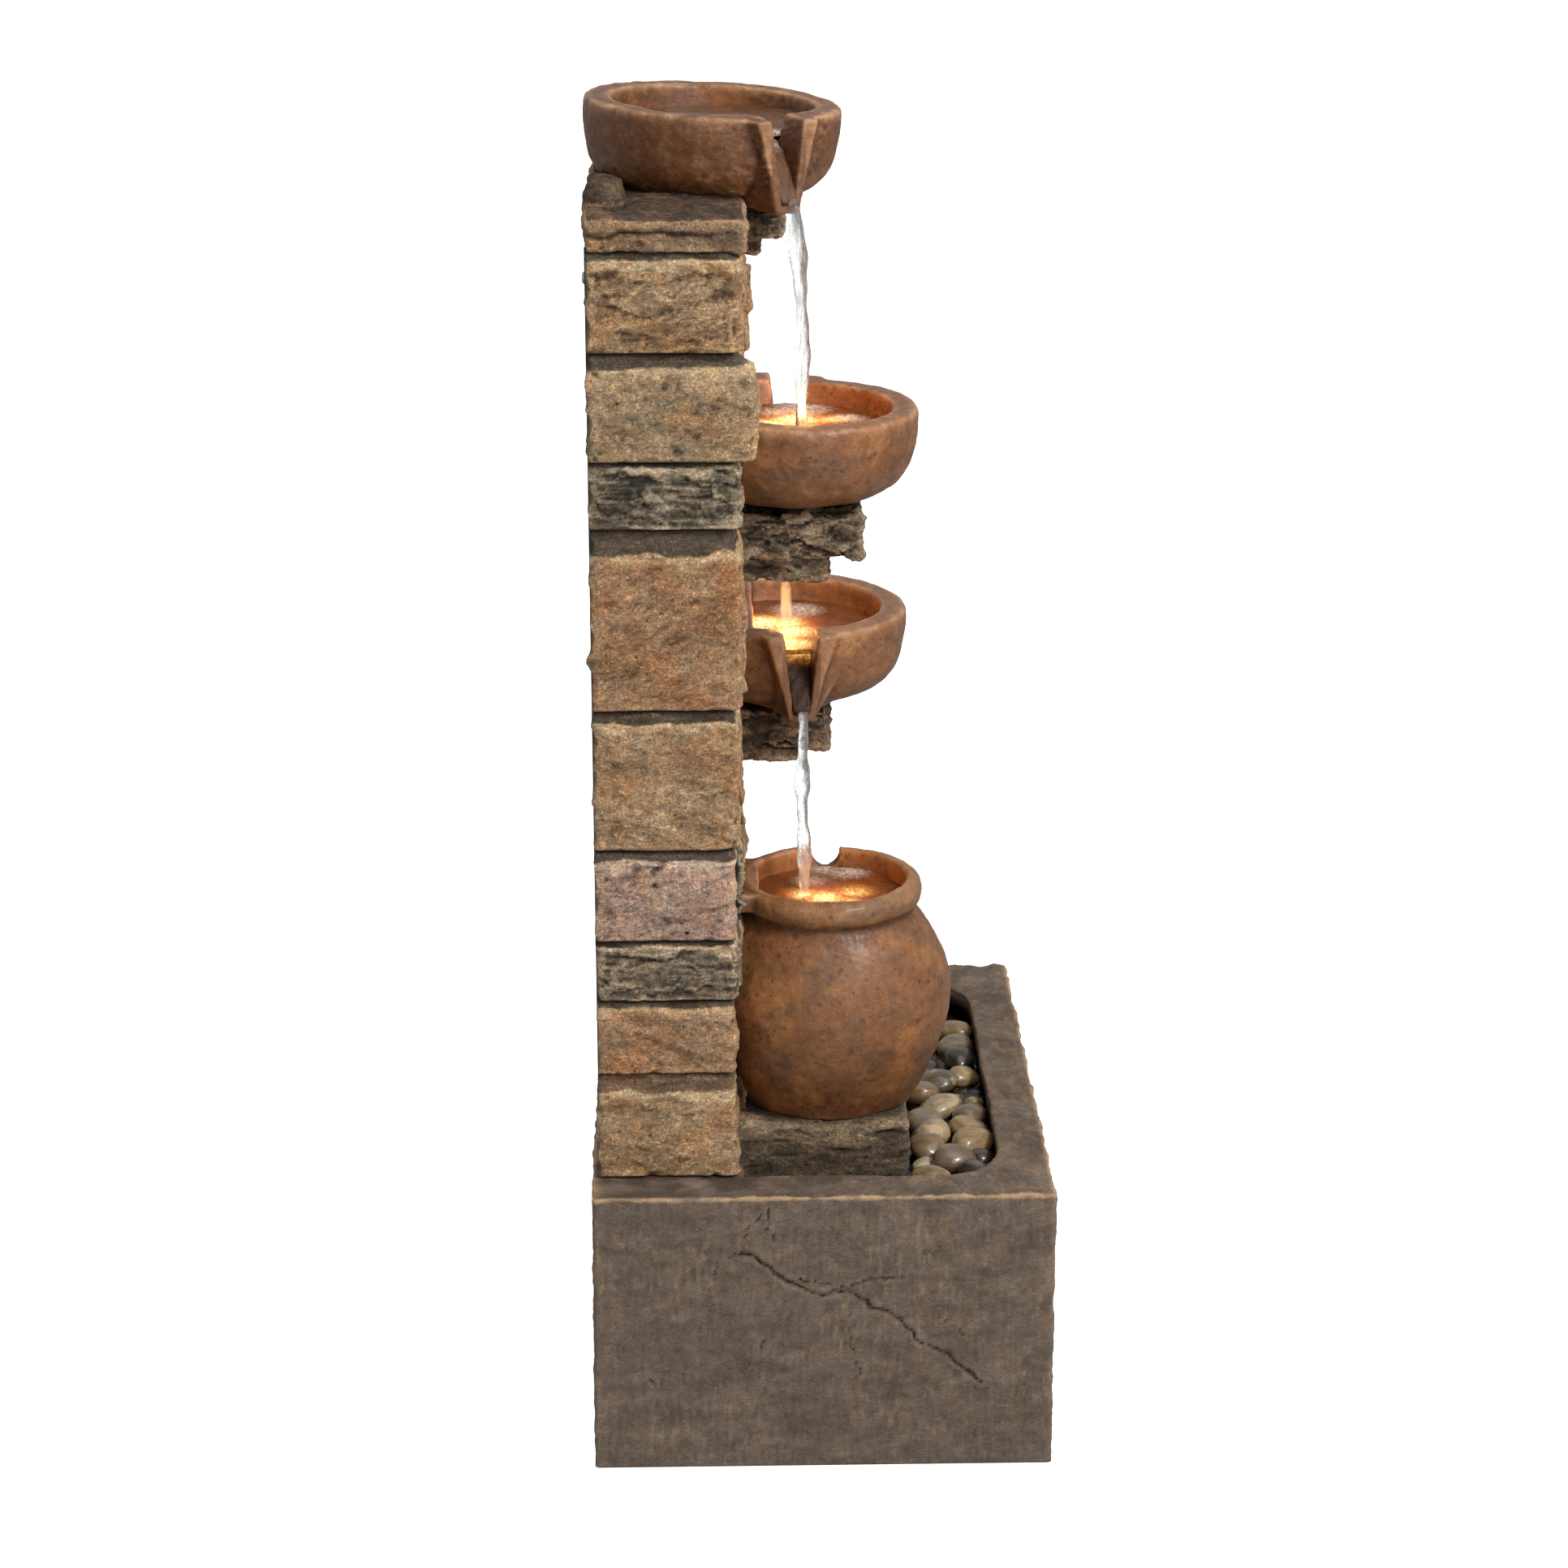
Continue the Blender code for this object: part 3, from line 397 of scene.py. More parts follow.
class Tree:
    """A node tree under construction."""

    def __init__(self, tree):
        self.tree = tree

    def add(self, kind, settings=None, **inputs):
        made = self.tree.nodes.new("ShaderNode" + kind)
        for key, value in (settings or {}).items():
            setattr(made, key, value)
        for key, value in inputs.items():
            self.feed(made.inputs[key.replace("_", " ")], value)
        return made

    def feed(self, socket, value):
        if isinstance(value, bpy.types.NodeSocket):
            self.tree.links.new(value, socket)
        else:
            socket.default_value = value

    def place(self, stretch=(1, 1, 1)):
        where = self.add("TexCoord").outputs["Object"]
        if stretch == (1, 1, 1):
            return where
        return self.add("Mapping", Vector=where, Scale=stretch).outputs["Vector"]

    def noise(self, size, detail=5.0, rough=0.6, stretch=(1, 1, 1), distort=0.0):
        made = self.add(
            "TexNoise", Vector=self.place(stretch), Scale=1 / size, Detail=detail,
            Roughness=rough, Distortion=distort,
        )
        return made.outputs["Fac"]

    def cells(self, size, feature="F1", stretch=(1, 1, 1)):
        made = self.add(
            "TexVoronoi", {"feature": feature}, Vector=self.place(stretch), Scale=1 / size
        )
        return made.outputs["Distance"]

    def ramp(self, value, low, high, to_low=0.0, to_high=1.0):
        made = self.add(
            "MapRange", Value=value, From_Min=low, From_Max=high, To_Min=to_low, To_Max=to_high
        )
        return made.outputs["Result"]

    def math(self, operation, a, b):
        made = self.tree.nodes.new("ShaderNodeMath")
        made.operation = operation
        self.feed(made.inputs[0], a)
        self.feed(made.inputs[1], b)
        return made.outputs[0]

    def product(self, *values):
        return functools.reduce(lambda a, b: self.math("MULTIPLY", a, b), values)

    def total(self, *values):
        return functools.reduce(lambda a, b: self.math("ADD", a, b), values)

    def shaded(self, tint, *shades):
        """The tint times the product of some shades."""
        shade = self.product(*shades)
        spots = self.add("CombineColor", Red=shade, Green=shade, Blue=shade).outputs["Color"]
        return self.blend(tint, spots, 1.0, "MULTIPLY")

    def pin_holes(self, size, low, high, patch, least):
        """0 in the small holes of a surface and 1 elsewhere; only patches of it have any."""
        holes = self.ramp(self.cells(size), low, high)
        some = self.ramp(self.noise(patch, 2, 0.5), least, 0.62)
        return self.math("MAXIMUM", holes, self.math("SUBTRACT", 1.0, some))

    def around(self, value, low, high, middle, swing):
        return self.ramp(value, low, high, middle - swing, middle + swing)

    def blend(self, a, b, share, mode="MIX"):
        made = self.tree.nodes.new("ShaderNodeMix")
        made.data_type = "RGBA"
        made.blend_type = mode
        sockets = {s.identifier: s for s in made.inputs}
        self.feed(sockets["Factor_Float"], share)
        self.feed(sockets["A_Color"], a)
        self.feed(sockets["B_Color"], b)
        return next(s for s in made.outputs if s.identifier == "Result_Color")

    def seen(self):
        """1 where the camera looks, straight or through the water, and 0 for light."""
        path = self.add("LightPath").outputs
        return self.math("MAXIMUM", path["Is Camera Ray"], path["Is Transmission Ray"])

    def attribute(self, name, output="Color"):
        return self.add("Attribute", {"attribute_name": name}).outputs[output]

    def bump(self, height, depth, strength=1.0, below=None):
        made = self.add("Bump", Height=height, Distance=depth, Strength=strength)
        if below:
            self.feed(made.inputs["Normal"], below)
        return made.outputs["Normal"]


class Nodes(Tree):
    """A material under construction."""

    def __init__(self, name, **constants):
        self.material = bpy.data.materials.new(name)
        self.material.use_nodes = True
        super().__init__(self.material.node_tree)
        self.shader = self.tree.nodes["Principled BSDF"]
        self.set(**constants)

    def set(self, **inputs):
        for key, value in inputs.items():
            self.feed(self.shader.inputs[key.replace("_", " ")], value)


def grey(value):
    return (value, value, value, 1.0)


def stone_material(name, gain, grain, contrast, bump, rough=(0.72, 0.95), cracked=False):
    """Cast stone: the sculpted tint with fine grain, dark pin holes and dry highlights."""
    m = Nodes(name, Specular_IOR_Level=0.35)
    coarse = m.noise(grain * 3.5, 6, 0.70)
    fine = m.noise(grain * 0.55, 4, 0.7)
    flakes = m.noise(grain * 1.6, 6, 0.78, (1, 1, 2.2), 0.8)
    flecks = m.noise(grain * 2.4, 5, 0.72, (1, 1, 1.8), 1.5)
    holes = m.pin_holes(grain * 2.6, 0.09, 0.20, 0.014, 0.50)
    shades = [
        m.around(coarse, 0.30, 0.70, gain, 0.22 * contrast),
        m.around(fine, 0.32, 0.68, 1, 0.75 * contrast),
        m.around(flakes, 0.40, 0.60, 1, 0.42 * contrast),
        m.ramp(flecks, 0.47, 0.57, 1 - 0.16 * contrast, 1 + 0.42 * contrast),
        m.ramp(holes, 0, 1, 0.75 if cracked else 0.35, 1.0),
    ]
    heights = [
        m.product(coarse, 0.9), flakes, m.product(fine, 0.45),
        m.product(m.ramp(flecks, 0.45, 0.57), 0.40), m.product(holes, 0.35),
    ]
    if cracked:
        line = m.total(m.attribute("crack", "Fac"), m.around(fine, 0.2, 0.8, 0, 0.0006))
        line = m.ramp(line, 0.0002, 0.0011)
        shades.append(m.ramp(line, 0, 1, 0.30, 1.0))
        heights.append(m.product(line, 1.1))
    colour = m.shaded(m.attribute("tint"), *shades)
    warm = m.ramp(m.noise(0.009, 3, 0.6), 0.35, 0.70)
    colour = m.blend(colour, m.blend(colour, (1.12, 0.96, 0.80, 1), 1.0, "MULTIPLY"), warm)
    m.set(
        Base_Color=colour,
        Roughness=m.ramp(fine, 0.3, 0.7, *rough),
        Normal=m.bump(m.total(*heights), bump),
    )
    return m.material


def terracotta_material():
    m = Nodes("terracotta", Specular_IOR_Level=0.45, Coat_Weight=0.16, Coat_Roughness=0.25)
    mottle = m.noise(0.006, 7, 0.72)
    fine = m.noise(0.0012, 4, 0.7)
    scratch = m.noise(0.004, 4, 0.7, (1, 1, 5), 1.2)
    holes = m.pin_holes(0.0042, 0.07, 0.20, 0.010, 0.52)
    height = m.total(
        m.product(mottle, 0.8), m.product(scratch, 0.5), m.product(m.total(fine, holes), 0.35)
    )
    m.set(
        Base_Color=m.shaded(
            m.attribute("tint"), m.around(mottle, 0.30, 0.70, 1, 0.24),
            m.around(fine, 0.3, 0.7, 1, 0.20), m.ramp(holes, 0, 1, 0.30, 1.0),
            m.around(scratch, 0.3, 0.7, 1, 0.15),
        ),
        Roughness=m.ramp(mottle, 0.3, 0.7, 0.34, 0.56),
        Normal=m.bump(height, 0.0007),
    )
    return m.material


def pebble_material():
    m = Nodes("river_pebble", Specular_IOR_Level=0.5, Coat_Weight=0.45, Coat_Roughness=0.08)
    bands = m.noise(0.010, 3, 0.6, (1, 0.5, 2.2), 1.5)
    specks = m.noise(0.0011, 3, 0.7)
    m.set(
        Base_Color=m.shaded(
            m.attribute("tint"), m.ramp(bands, 0.3, 0.7, 0.62, 1.25),
            m.ramp(specks, 0.3, 0.7, 0.85, 1.12),
        ),
        Roughness=m.ramp(specks, 0.3, 0.7, 0.22, 0.36),
        Normal=m.bump(specks, 0.00008),
    )
    return m.material


def moulded(name, colour, rough=0.45, grain=0.0012, depth=0.00006, **constants):
    """Moulded plastic or rubber, with a spark-eroded grain and slight wear."""
    m = Nodes(name, **constants)
    fine = m.noise(grain, 3, 0.6)
    wear = m.noise(0.014, 4, 0.6)
    light = (*[min(1, 1.5 * c + 0.01) for c in colour], 1)
    m.set(
        Base_Color=m.blend((*colour, 1), light, m.ramp(wear, 0.4, 0.75)),
        Roughness=m.ramp(wear, 0.3, 0.7, rough - 0.08, rough + 0.10),
        Normal=m.bump(fine, depth),
    )
    return m.material


def grained(name, grain, dark, light, rough, depth=0.0, **constants):
    """A hard surface whose colour and gloss vary with one grain."""
    m = Nodes(name, **constants)
    fine = m.noise(*grain)
    m.set(Base_Color=m.blend(dark, light, fine), Roughness=m.ramp(fine, 0.3, 0.7, *rough))
    if depth:
        m.set(Normal=m.bump(fine, depth))
    return m.material


def water_material(name, deep, glow=0.0):
    """Still water over a coloured floor, with foam and, in a lit bowl, the light shining up."""
    m = Nodes(name, Specular_IOR_Level=0.5, IOR=1.33)
    foam = m.attribute("foam", "Fac")
    bubbles = m.ramp(m.cells(0.0028), 0.12, 0.5)
    froth = m.noise(0.0030, 5, 0.7)
    veil = m.ramp(m.product(foam, m.ramp(froth, 0.25, 0.75, 0.5, 1.6)), 0.25, 0.75)
    white = m.blend((0.32, 0.20, 0.13, 1), (0.70, 0.56, 0.44, 1), bubbles)
    swirl = m.noise(0.012, 5, 0.65, distort=1.0)
    body = m.blend((*deep, 1), (*[1.8 * c for c in deep], 1), m.ramp(swirl, 0.35, 0.7))
    m.set(
        Base_Color=m.blend(body, white, veil),
        Roughness=m.ramp(veil, 0, 1, 0.05, 0.45),
        Normal=m.bump(m.total(froth, m.product(veil, bubbles)), 0.0009),
    )
    if glow:
        spark = m.ramp(m.noise(0.0024, 6, 0.8), 0.36, 0.62, 0.15, 1.5)
        light = m.product(m.attribute("glow", "Fac"), spark)
        warm = m.blend((1.0, 0.33, 0.03, 1), (1.0, 0.80, 0.30, 1), m.ramp(light, 0.05, 0.65))
        m.set(Emission_Color=warm, Emission_Strength=m.product(light, glow))
    return m.material


def pool_material():
    m = Nodes("pool_water", Base_Color=(0.20, 0.16, 0.115, 1), Transmission_Weight=1.0, IOR=1.33)
    swirl = m.noise(0.018, 4, 0.6, distort=0.8)
    m.set(Roughness=m.ramp(swirl, 0.35, 0.7, 0.01, 0.06), Normal=m.bump(swirl, 0.0012))
    return m.material


def stream_material():
    m = Nodes("falling_water", Transmission_Weight=0.90, IOR=1.33)
    strands = m.noise(0.0030, 4, 0.65, (1, 1, 0.10))
    m.set(
        Base_Color=m.blend(
            (0.52, 0.56, 0.58, 1), (0.97, 0.98, 0.99, 1), m.ramp(strands, 0.36, 0.56)
        ),
        Roughness=m.ramp(strands, 0.35, 0.7, 0.02, 0.22),
        Normal=m.bump(strands, 0.0014),
    )
    return m.material


# Rock looks: tints are linear colours, lengths are metres


# One kind of stone: four colours, the third also used for painted shade in crevices, the share
# that is stained, the depths of its waves, grain and layers, how pitted it is, how dry-brushed it
# is and how strong the painted highlights on its edges are, and the depth of its chips. Each may
# be one value or one for each point.
Rock = namedtuple(
    "Rock", "base second stain light stained waves grain strata pitted brushed chipped"
)


def rocks(kinds, index):
    """The kinds of stone of a list, one for each point by its index."""
    return Rock(*(np.array(values, float)[index] for values in zip(*kinds)))


BUFF = Rock((0.49, 0.325, 0.190), (0.43, 0.265, 0.140), (0.110, 0.085, 0.052), (0.74, 0.56, 0.35),
            0.16, 0.0020, 0.0006, 0.0003, 0.25, 0.6, 0.0005)
PEACH = Rock((0.52, 0.330, 0.200), (0.50, 0.280, 0.145), (0.17, 0.115, 0.065), (0.74, 0.53, 0.32),
             0.12, 0.0018, 0.0006, 0.0003, 0.10, 0.6, 0.0005)
SLATE = Rock((0.128, 0.112, 0.082), (0.072, 0.067, 0.048), (0.026, 0.024, 0.017),
             (0.70, 0.58, 0.41), 0.26, 0.0014, 0.0007, 0.0026, 0.1, 1.0, 0.0015)
PALE_SLATE = Rock((0.225, 0.180, 0.130), (0.135, 0.116, 0.084), (0.040, 0.036, 0.027),
                  (0.76, 0.60, 0.42), 0.26, 0.0014, 0.0007, 0.0020, 0.1, 0.9, 0.0012)
MAUVE = Rock((0.60, 0.430, 0.335), (0.52, 0.35, 0.28), (0.085, 0.058, 0.062), (0.80, 0.63, 0.48),
             0.42, 0.0014, 0.0007, 0.0004, 0.9, 0.6, 0.0005)
ORANGE = Rock((0.45, 0.268, 0.150), (0.42, 0.225, 0.112), (0.15, 0.095, 0.055), (0.74, 0.53, 0.32),
              0.10, 0.0024, 0.0007, 0.0002, 0.12, 0.6, 0.0005)
YELLOW = Rock((0.54, 0.375, 0.215), (0.43, 0.310, 0.185), (0.110, 0.096, 0.070),
              (0.76, 0.58, 0.36), 0.32, 0.0020, 0.0007, 0.0, 0.7, 0.6, 0.0004)
OCHRE = Rock((0.39, 0.262, 0.153), (0.47, 0.285, 0.140), (0.100, 0.074, 0.046), (0.74, 0.55, 0.33),
             0.28, 0.0042, 0.0008, 0.0005, 0.25, 0.8, 0.0009)
PLINTH = Rock((0.250, 0.190, 0.128), (0.170, 0.133, 0.090), (0.044, 0.034, 0.024),
              (0.52, 0.40, 0.27), 0.22, 0.0016, 0.0007, 0.0010, 0.1, 0.7, 0.0007)
CAP = Rock((0.215, 0.148, 0.096), (0.170, 0.120, 0.080), (0.055, 0.040, 0.028), (0.66, 0.44, 0.26),
           0.18, 0.0016, 0.0007, 0.0003, 0.1, 0.9, 0.0005)
LEDGE = Rock((0.135, 0.102, 0.070), (0.085, 0.066, 0.046), (0.024, 0.019, 0.013),
             (0.62, 0.47, 0.32), 0.26, 0.0030, 0.0008, 0.0008, 0.1, 1.1, 0.0019)
BASE = Rock((0.190, 0.150, 0.121), (0.165, 0.132, 0.108), (0.120, 0.094, 0.076),
            (0.44, 0.33, 0.235), 0.08, 0.0008, 0.0003, 0.0001, 0.02, 0.30, 0.0001)


SLANTS = [-0.45, 0.60, 0.15, -0.20, 0.35]  # how the folds of a stone lean


def rock_relief(points, rock, seed):
    """How far the stone's surface stands out, in metres."""
    lean = points.copy()
    lean[:, 2] += 0.0035 * noise(points, 0.035, seed + 3)
    amount = rock.waves * fractal(points, (0.045, 0.045, 0.032), seed, 2)
    slant = points @ np.array(Matrix.Rotation(SLANTS[seed % len(SLANTS)], 3, "X"))
    amount += 1.3 * rock.waves * (ridges(slant, (0.040, 0.046, 0.015), seed + 15, 3, 0.55) - 0.72)
    amount += rock.grain * (
        0.8 * fractal(points, 0.007, seed + 20, 4, 0.65) - 0.9 * ridges(slant, 0.0050, seed + 9)
    )
    shaken = lean + 0.004 * noise(points, 0.012, seed + 12)[:, None]
    amount += rock.chipped * (
        facets(shaken, (0.030, 0.026, 0.0080), seed + 13)
        + 0.4 * facets(slant, (0.014, 0.014, 0.005), seed + 14)
    )
    layers = ridges(lean, (0.050, 0.050, 0.0065), seed + 30, 2, 0.6)
    amount += rock.strata * 1.6 * (layers - 0.6)
    holes = pits(points, 0.009, seed + 40, 0.5) * ramp(noise(points, 0.030, seed + 41), -0.1, 0.4)
    amount -= rock.pitted * 0.0018 * holes
    return amount, holes


def rock_tint(skin, rock, seed, holes=0.0, dark=0.0, lit=0.0, warm=0.6):
    """The stone's colour from its place, its crevices, darkened by a dark wash and painted shade,
    and its edges, lightened by dry-brushing and painted highlights.
    """
    points = skin.points
    count = len(points)
    tint = np.broadcast_to(rock.base, (count, 3)).copy()
    tint = mixed(tint, rock.second, ramp(fractal(points, 0.030, seed + 50, 3), -0.35, 0.45))
    lean = points + 0.006 * noise(points, 0.03, seed + 52)[:, None]
    tint = varied(tint, 0.22, fractal(lean, (0.030, 0.030, 0.008), seed + 51, 3))
    areas = fractal(points, (0.036, 0.036, 0.028), seed + 53, 4, 0.6)
    tint = varied(tint, 0.03 + 0.28 * warm, areas)
    patches = fractal(points, (0.026, 0.026, 0.018), seed + 55, 4, 0.6)
    tint = mixed(tint, rock.light, 0.55 * rock.brushed * ramp(patches, 0.10, 0.75))
    tint = mixed(
        tint, tint * (1.12, 0.88, 0.70),
        warm * ramp(fractal(points, 0.034, seed + 56, 3), 0.0, 0.7)
    )
    blots = fractal(points, (0.024, 0.024, 0.014), seed + 60, 6, 0.68)
    blots += 0.4 * fractal(points, 0.05, seed + 61, 2)
    share = ramp(blots, 0.80 - 1.3 * rock.stained, 1.75 - 1.2 * rock.stained)
    share = share * (0.45 + 0.75 * ramp(fractal(points, 0.0042, seed + 62, 3, 0.7), -0.35, 0.40))
    tint = mixed(tint, rock.stain, 0.70 * share)
    # Crevices darkened towards the stain colour: partly a dark wash, partly painted shade where
    # the relief sinks.
    near = skin.relief(3) / 0.00032
    wide = skin.relief(24) / 0.0011
    low = unit(-0.6 * near) * 0.40 + np.clip(-wide, 0, 1.2) * 0.45
    tint = mixed(tint, np.multiply(rock.stain, 0.7), low + 0.65 * rock.pitted * holes + dark)
    veins = ridges(
        lean + 0.0012 * noise(points, 0.006, seed + 66)[:, None], (0.022, 0.022, 0.0048),
        seed + 65, 2, 0.6
    )
    veins = ramp(veins, 0.86, 0.95) * ramp(fractal(points, 0.014, seed + 67, 3), -0.15, 0.45)
    tint = mixed(tint, np.multiply(rock.light, 0.85), 260 * rock.strata * veins)
    # Raised edges lightened: partly dry-brush wear, partly painted highlights where light catches
    # them; lit is the painted highlight of a stone's top band.
    patchy = 0.60 + 0.5 * fractal(points, 0.020, seed + 70, 3)
    high = unit(0.5 * near) * 0.40 + unit(0.8 * wide) * 0.60
    tint = mixed(tint, rock.light, rock.brushed * np.clip(patchy, 0.1, 1) * high + lit)
    return tint


# The wall: a hollow U of stones, from just above the basin to the capping

COURSES = [
    # bottom, top, how far it stands out at the sides, its front at the corners, its stone
    (0.1860, 0.2440, 0.0070, 0.0530, BUFF),
    (0.2550, 0.3010, 0.0055, 0.0545, PEACH),
    (0.3035, 0.3410, 0.0045, 0.0520, PALE_SLATE),
    (0.3430, 0.3965, 0.0060, 0.0540, MAUVE),
    (0.4017, 0.4845, 0.0055, 0.0510, BUFF),
    (0.4907, 0.5889, 0.0055, 0.0500, ORANGE),
    (0.6030, 0.6420, 0.0040, 0.0515, SLATE),
    (0.6440, 0.7017, 0.0080, 0.0410, YELLOW),
    (0.7090, 0.7650, 0.0050, 0.0510, OCHRE),
]
LOW_COURSE = 0.042  # a lower course has one stone fewer
KINDS = [BUFF, PEACH, SLATE, MAUVE, ORANGE, YELLOW, OCHRE]
WALL_DEPTH = 0.0890  # of its sides, from the front joints to the back
LINING_BACK_Y = WALL_BACK_Y - 0.001
# the inside of the U, from the back edge at +X round to the back edge at -X
WALL_LINING = [
    (PANEL_EDGE_X, LINING_BACK_Y), (PANEL_EDGE_X, PANEL_SEAT_Y), (CAVITY_X, PANEL_SEAT_Y),
    (CAVITY_X, CAVITY_Y), (-CAVITY_X, CAVITY_Y), (-CAVITY_X, PANEL_SEAT_Y),
    (-PANEL_EDGE_X, PANEL_SEAT_Y), (-PANEL_EDGE_X, LINING_BACK_Y),
]


def spaced(stops, fine, coarse, reach):
    """Numbers from the first stop to the last, closer together near every stop."""
    values = [stops[0]]
    while values[-1] < stops[-1]:
        gap = min(abs(values[-1] - stop) for stop in stops)
        values.append(min(values[-1] + (fine if gap < reach else coarse), stops[-1]))
    if len(values) > 2 and values[-1] - values[-2] < 0.4 * fine:
        values.pop(-2)
    return np.array(values)


def stones_of(number, rng):
    """The stones of one course round the wall: where each starts and ends along the wall's
    outside, with 0 at the middle of the front, how far it stands out, and its kind."""
    low, high, _, front, kind = COURSES[number]
    inner = 0.118 + 0.012 * (number % 2)  # the corner stones' ends, which alternate
    joints = [-inner, rng.uniform(-0.055, -0.020), rng.uniform(0.030, 0.070), inner]
    if high - low < LOW_COURSE:
        joints = [-inner, rng.uniform(-0.02, 0.03), inner]
    ends = WALL_SIDE + WALL_DEPTH
    stones = [(-ends, -inner, JOINT_Y - front, kind)]
    for start, end in zip(joints, joints[1:]):
        stones.append((start, end, rng.uniform(0.0045, 0.0095), KINDS[rng.integers(len(KINDS))]))
    return [*stones, (inner, ends, JOINT_Y - front, KINDS[(number * 3 + 1) % len(KINDS)])]


def outline_columns():
    """Points round the outside of the U, from the back at -X round the front to the back at +X:
    which face each is on (0, 1 or 2), how far along it, and its way from the front's middle."""
    side = spaced([0.0, WALL_DEPTH], 0.0010, 0.0012, 0.006)[:-1] / WALL_DEPTH
    across = spaced([-WALL_SIDE, WALL_SIDE], 0.0012, 0.0021, 0.008) / WALL_SIDE
    face = np.concatenate([np.zeros(len(side)), np.ones(len(across)), np.full(len(side), 2)])
    along = np.concatenate([side, across, side[::-1]])
    place = np.select(
        [face == 0, face == 1],
        [-WALL_SIDE - WALL_DEPTH * (1 - along), along * WALL_SIDE],
        WALL_SIDE + WALL_DEPTH * (1 - along),
    )
    return face, along, place


COVES = [(0.23, 0.152, 0.096), (0.084, 0.075, 0.060)]  # above the lowest course, above the others
# the painted shadow under each course's overhang, and the dark upright joints
CREVICE_SHADE = (0.018, 0.016, 0.012)


def make_course(number, rng):
    """One course of the wall as a closed ring of stones with a sloping shoulder above them."""
    low, high, proud, _, _ = COURSES[number]
    top = COURSES[number + 1][0] if number + 1 < len(COURSES) else COURSES_TOP
    rows = spaced([low, high, top], 0.0008, 0.0012, 0.004)
    face, along, place = outline_columns()
    count = len(face)
    z = np.repeat(rows, count)
    face, along, place = (np.tile(column, len(rows)) for column in (face, along, place))
    flat = np.stack([place, 0 * z, z], axis=1)
    wobble = 0.0016 * fractal(flat, 0.024, 3, 3)
    edge_z = high - 0.0022 + wobble + 0.0018 * np.minimum(noise(flat, 0.060, 4 + number), 0)
    shoulder = unit((z - edge_z) / np.maximum(top - edge_z, 0.0012))
    under = unit((z - low) / 0.0022)
    profile = np.sqrt(np.clip(1 - (1 - under) ** 2, 0.04, 1)) * (1 - shoulder) ** 0.95
    profile -= 0.22 * ramp(shoulder, 0.0, 0.14) * (1 - shoulder)
    profile -= 0.07 * ramp(z, edge_z - 0.0045, edge_z) * (1 - shoulder)
    profile += 0.10 * np.sin(math.pi * unit((z - low) / (high - low)))

    kinds, index, stand, ends = [], np.zeros(len(z), int), np.zeros(len(z)), np.full(len(z), 0.02)
    for start, end, out, kind in stones_of(number, rng):
        mine = (place >= start) & (place < end + 1e-9)
        lean = rng.uniform(-0.0022, 0.0022) * ((z - low) / (high - low) - 0.5)
        index[mine] = len(kinds)
        kinds.append(kind)
        stand = np.where(mine, out + np.clip(lean, -0.5 * out, None), stand)
        gap = np.minimum(np.where(abs(start) > WALL_SIDE, 1, place - start),
                         np.where(abs(end) > WALL_SIDE, 1, end - place))
        ends = np.where(mine, np.minimum(gap, 0.02) + 0.5 * wobble - 0.0009, ends)
    joint = unit(ends / 0.0034)
    profile *= np.sqrt(unit(1 - (1 - joint) ** 2))
    corner_gap = np.minimum(np.abs(np.abs(place) - WALL_SIDE), 0.03)
    chips = ramp(noise(flat, (0.013, 1, 0.011), 60 + number), 0.22, 0.7)
    brink = np.minimum(np.minimum(z - low, np.abs(z - edge_z)), corner_gap)
    chips = chips * ramp(brink, 0.0050, 0.0005)
    profile = profile * (1 - 0.55 * chips)

    sign = np.where(face == 2, 1.0, -1.0)
    on_side = face != 1
    x_side = WALL_SIDE + proud * profile
    ragged = 0.0016 * fractal(np.stack([0 * z, 0 * z, z], 1), (1, 1, 0.022), 45 + number, 4, 0.6)
    y_front = JOINT_Y - (stand + ragged * (stand > 0)) * profile
    points = np.stack([
        np.where(on_side, sign * x_side, along * x_side),
        np.where(on_side, LINING_BACK_Y - (LINING_BACK_Y - y_front) * along, y_front),
        z,
    ], axis=1)
    ragged = 0.0046 * (1 + 0.35 * fractal(flat, (1, 1, 0.016), 40 + number, 3))
    turn = unit(1 - corner_gap / ragged)
    normal = np.where(on_side[:, None], np.stack([sign, 0 * z, 0 * z], 1), np.array([0, -1.0, 0]))
    corner = np.stack([np.where(on_side, sign, np.sign(along)), -np.ones(len(z)), 0 * z], 1)
    corner /= math.sqrt(2)
    normal = normal + (corner - normal) * turn[:, None]
    points -= corner * (0.0021 * turn**2)[:, None]
    rock = rocks(kinds, index)
    amount, holes = rock_relief(points, rock, 100 + number)
    cover = unit(1 - 0.8 * shoulder) * unit(0.3 + under) * unit(0.3 + joint)
    points += normal * (amount * cover)[:, None]
    behind = np.where(on_side, ramp(along, 0.10, 0.0), 0)
    points[:, 1] += behind * 0.0030 * (fractal(flat, 0.012, 77, 3) - 0.4)

    ring = count + len(WALL_LINING)
    grid = np.zeros((len(rows), ring, 3))
    grid[:, :count] = points.reshape(len(rows), count, 3)
    grid[:, count:, :2] = WALL_LINING
    grid[:, count:, 2] = rows[:, None]
    course = ringed(f"wall_course_{number + 1}", grid)
    skin = Skin(course)

    def whole(values, lining):
        full = np.full((len(rows), ring), lining, float)
        full[:, :count] = values.reshape(len(rows), count)
        return full.ravel()

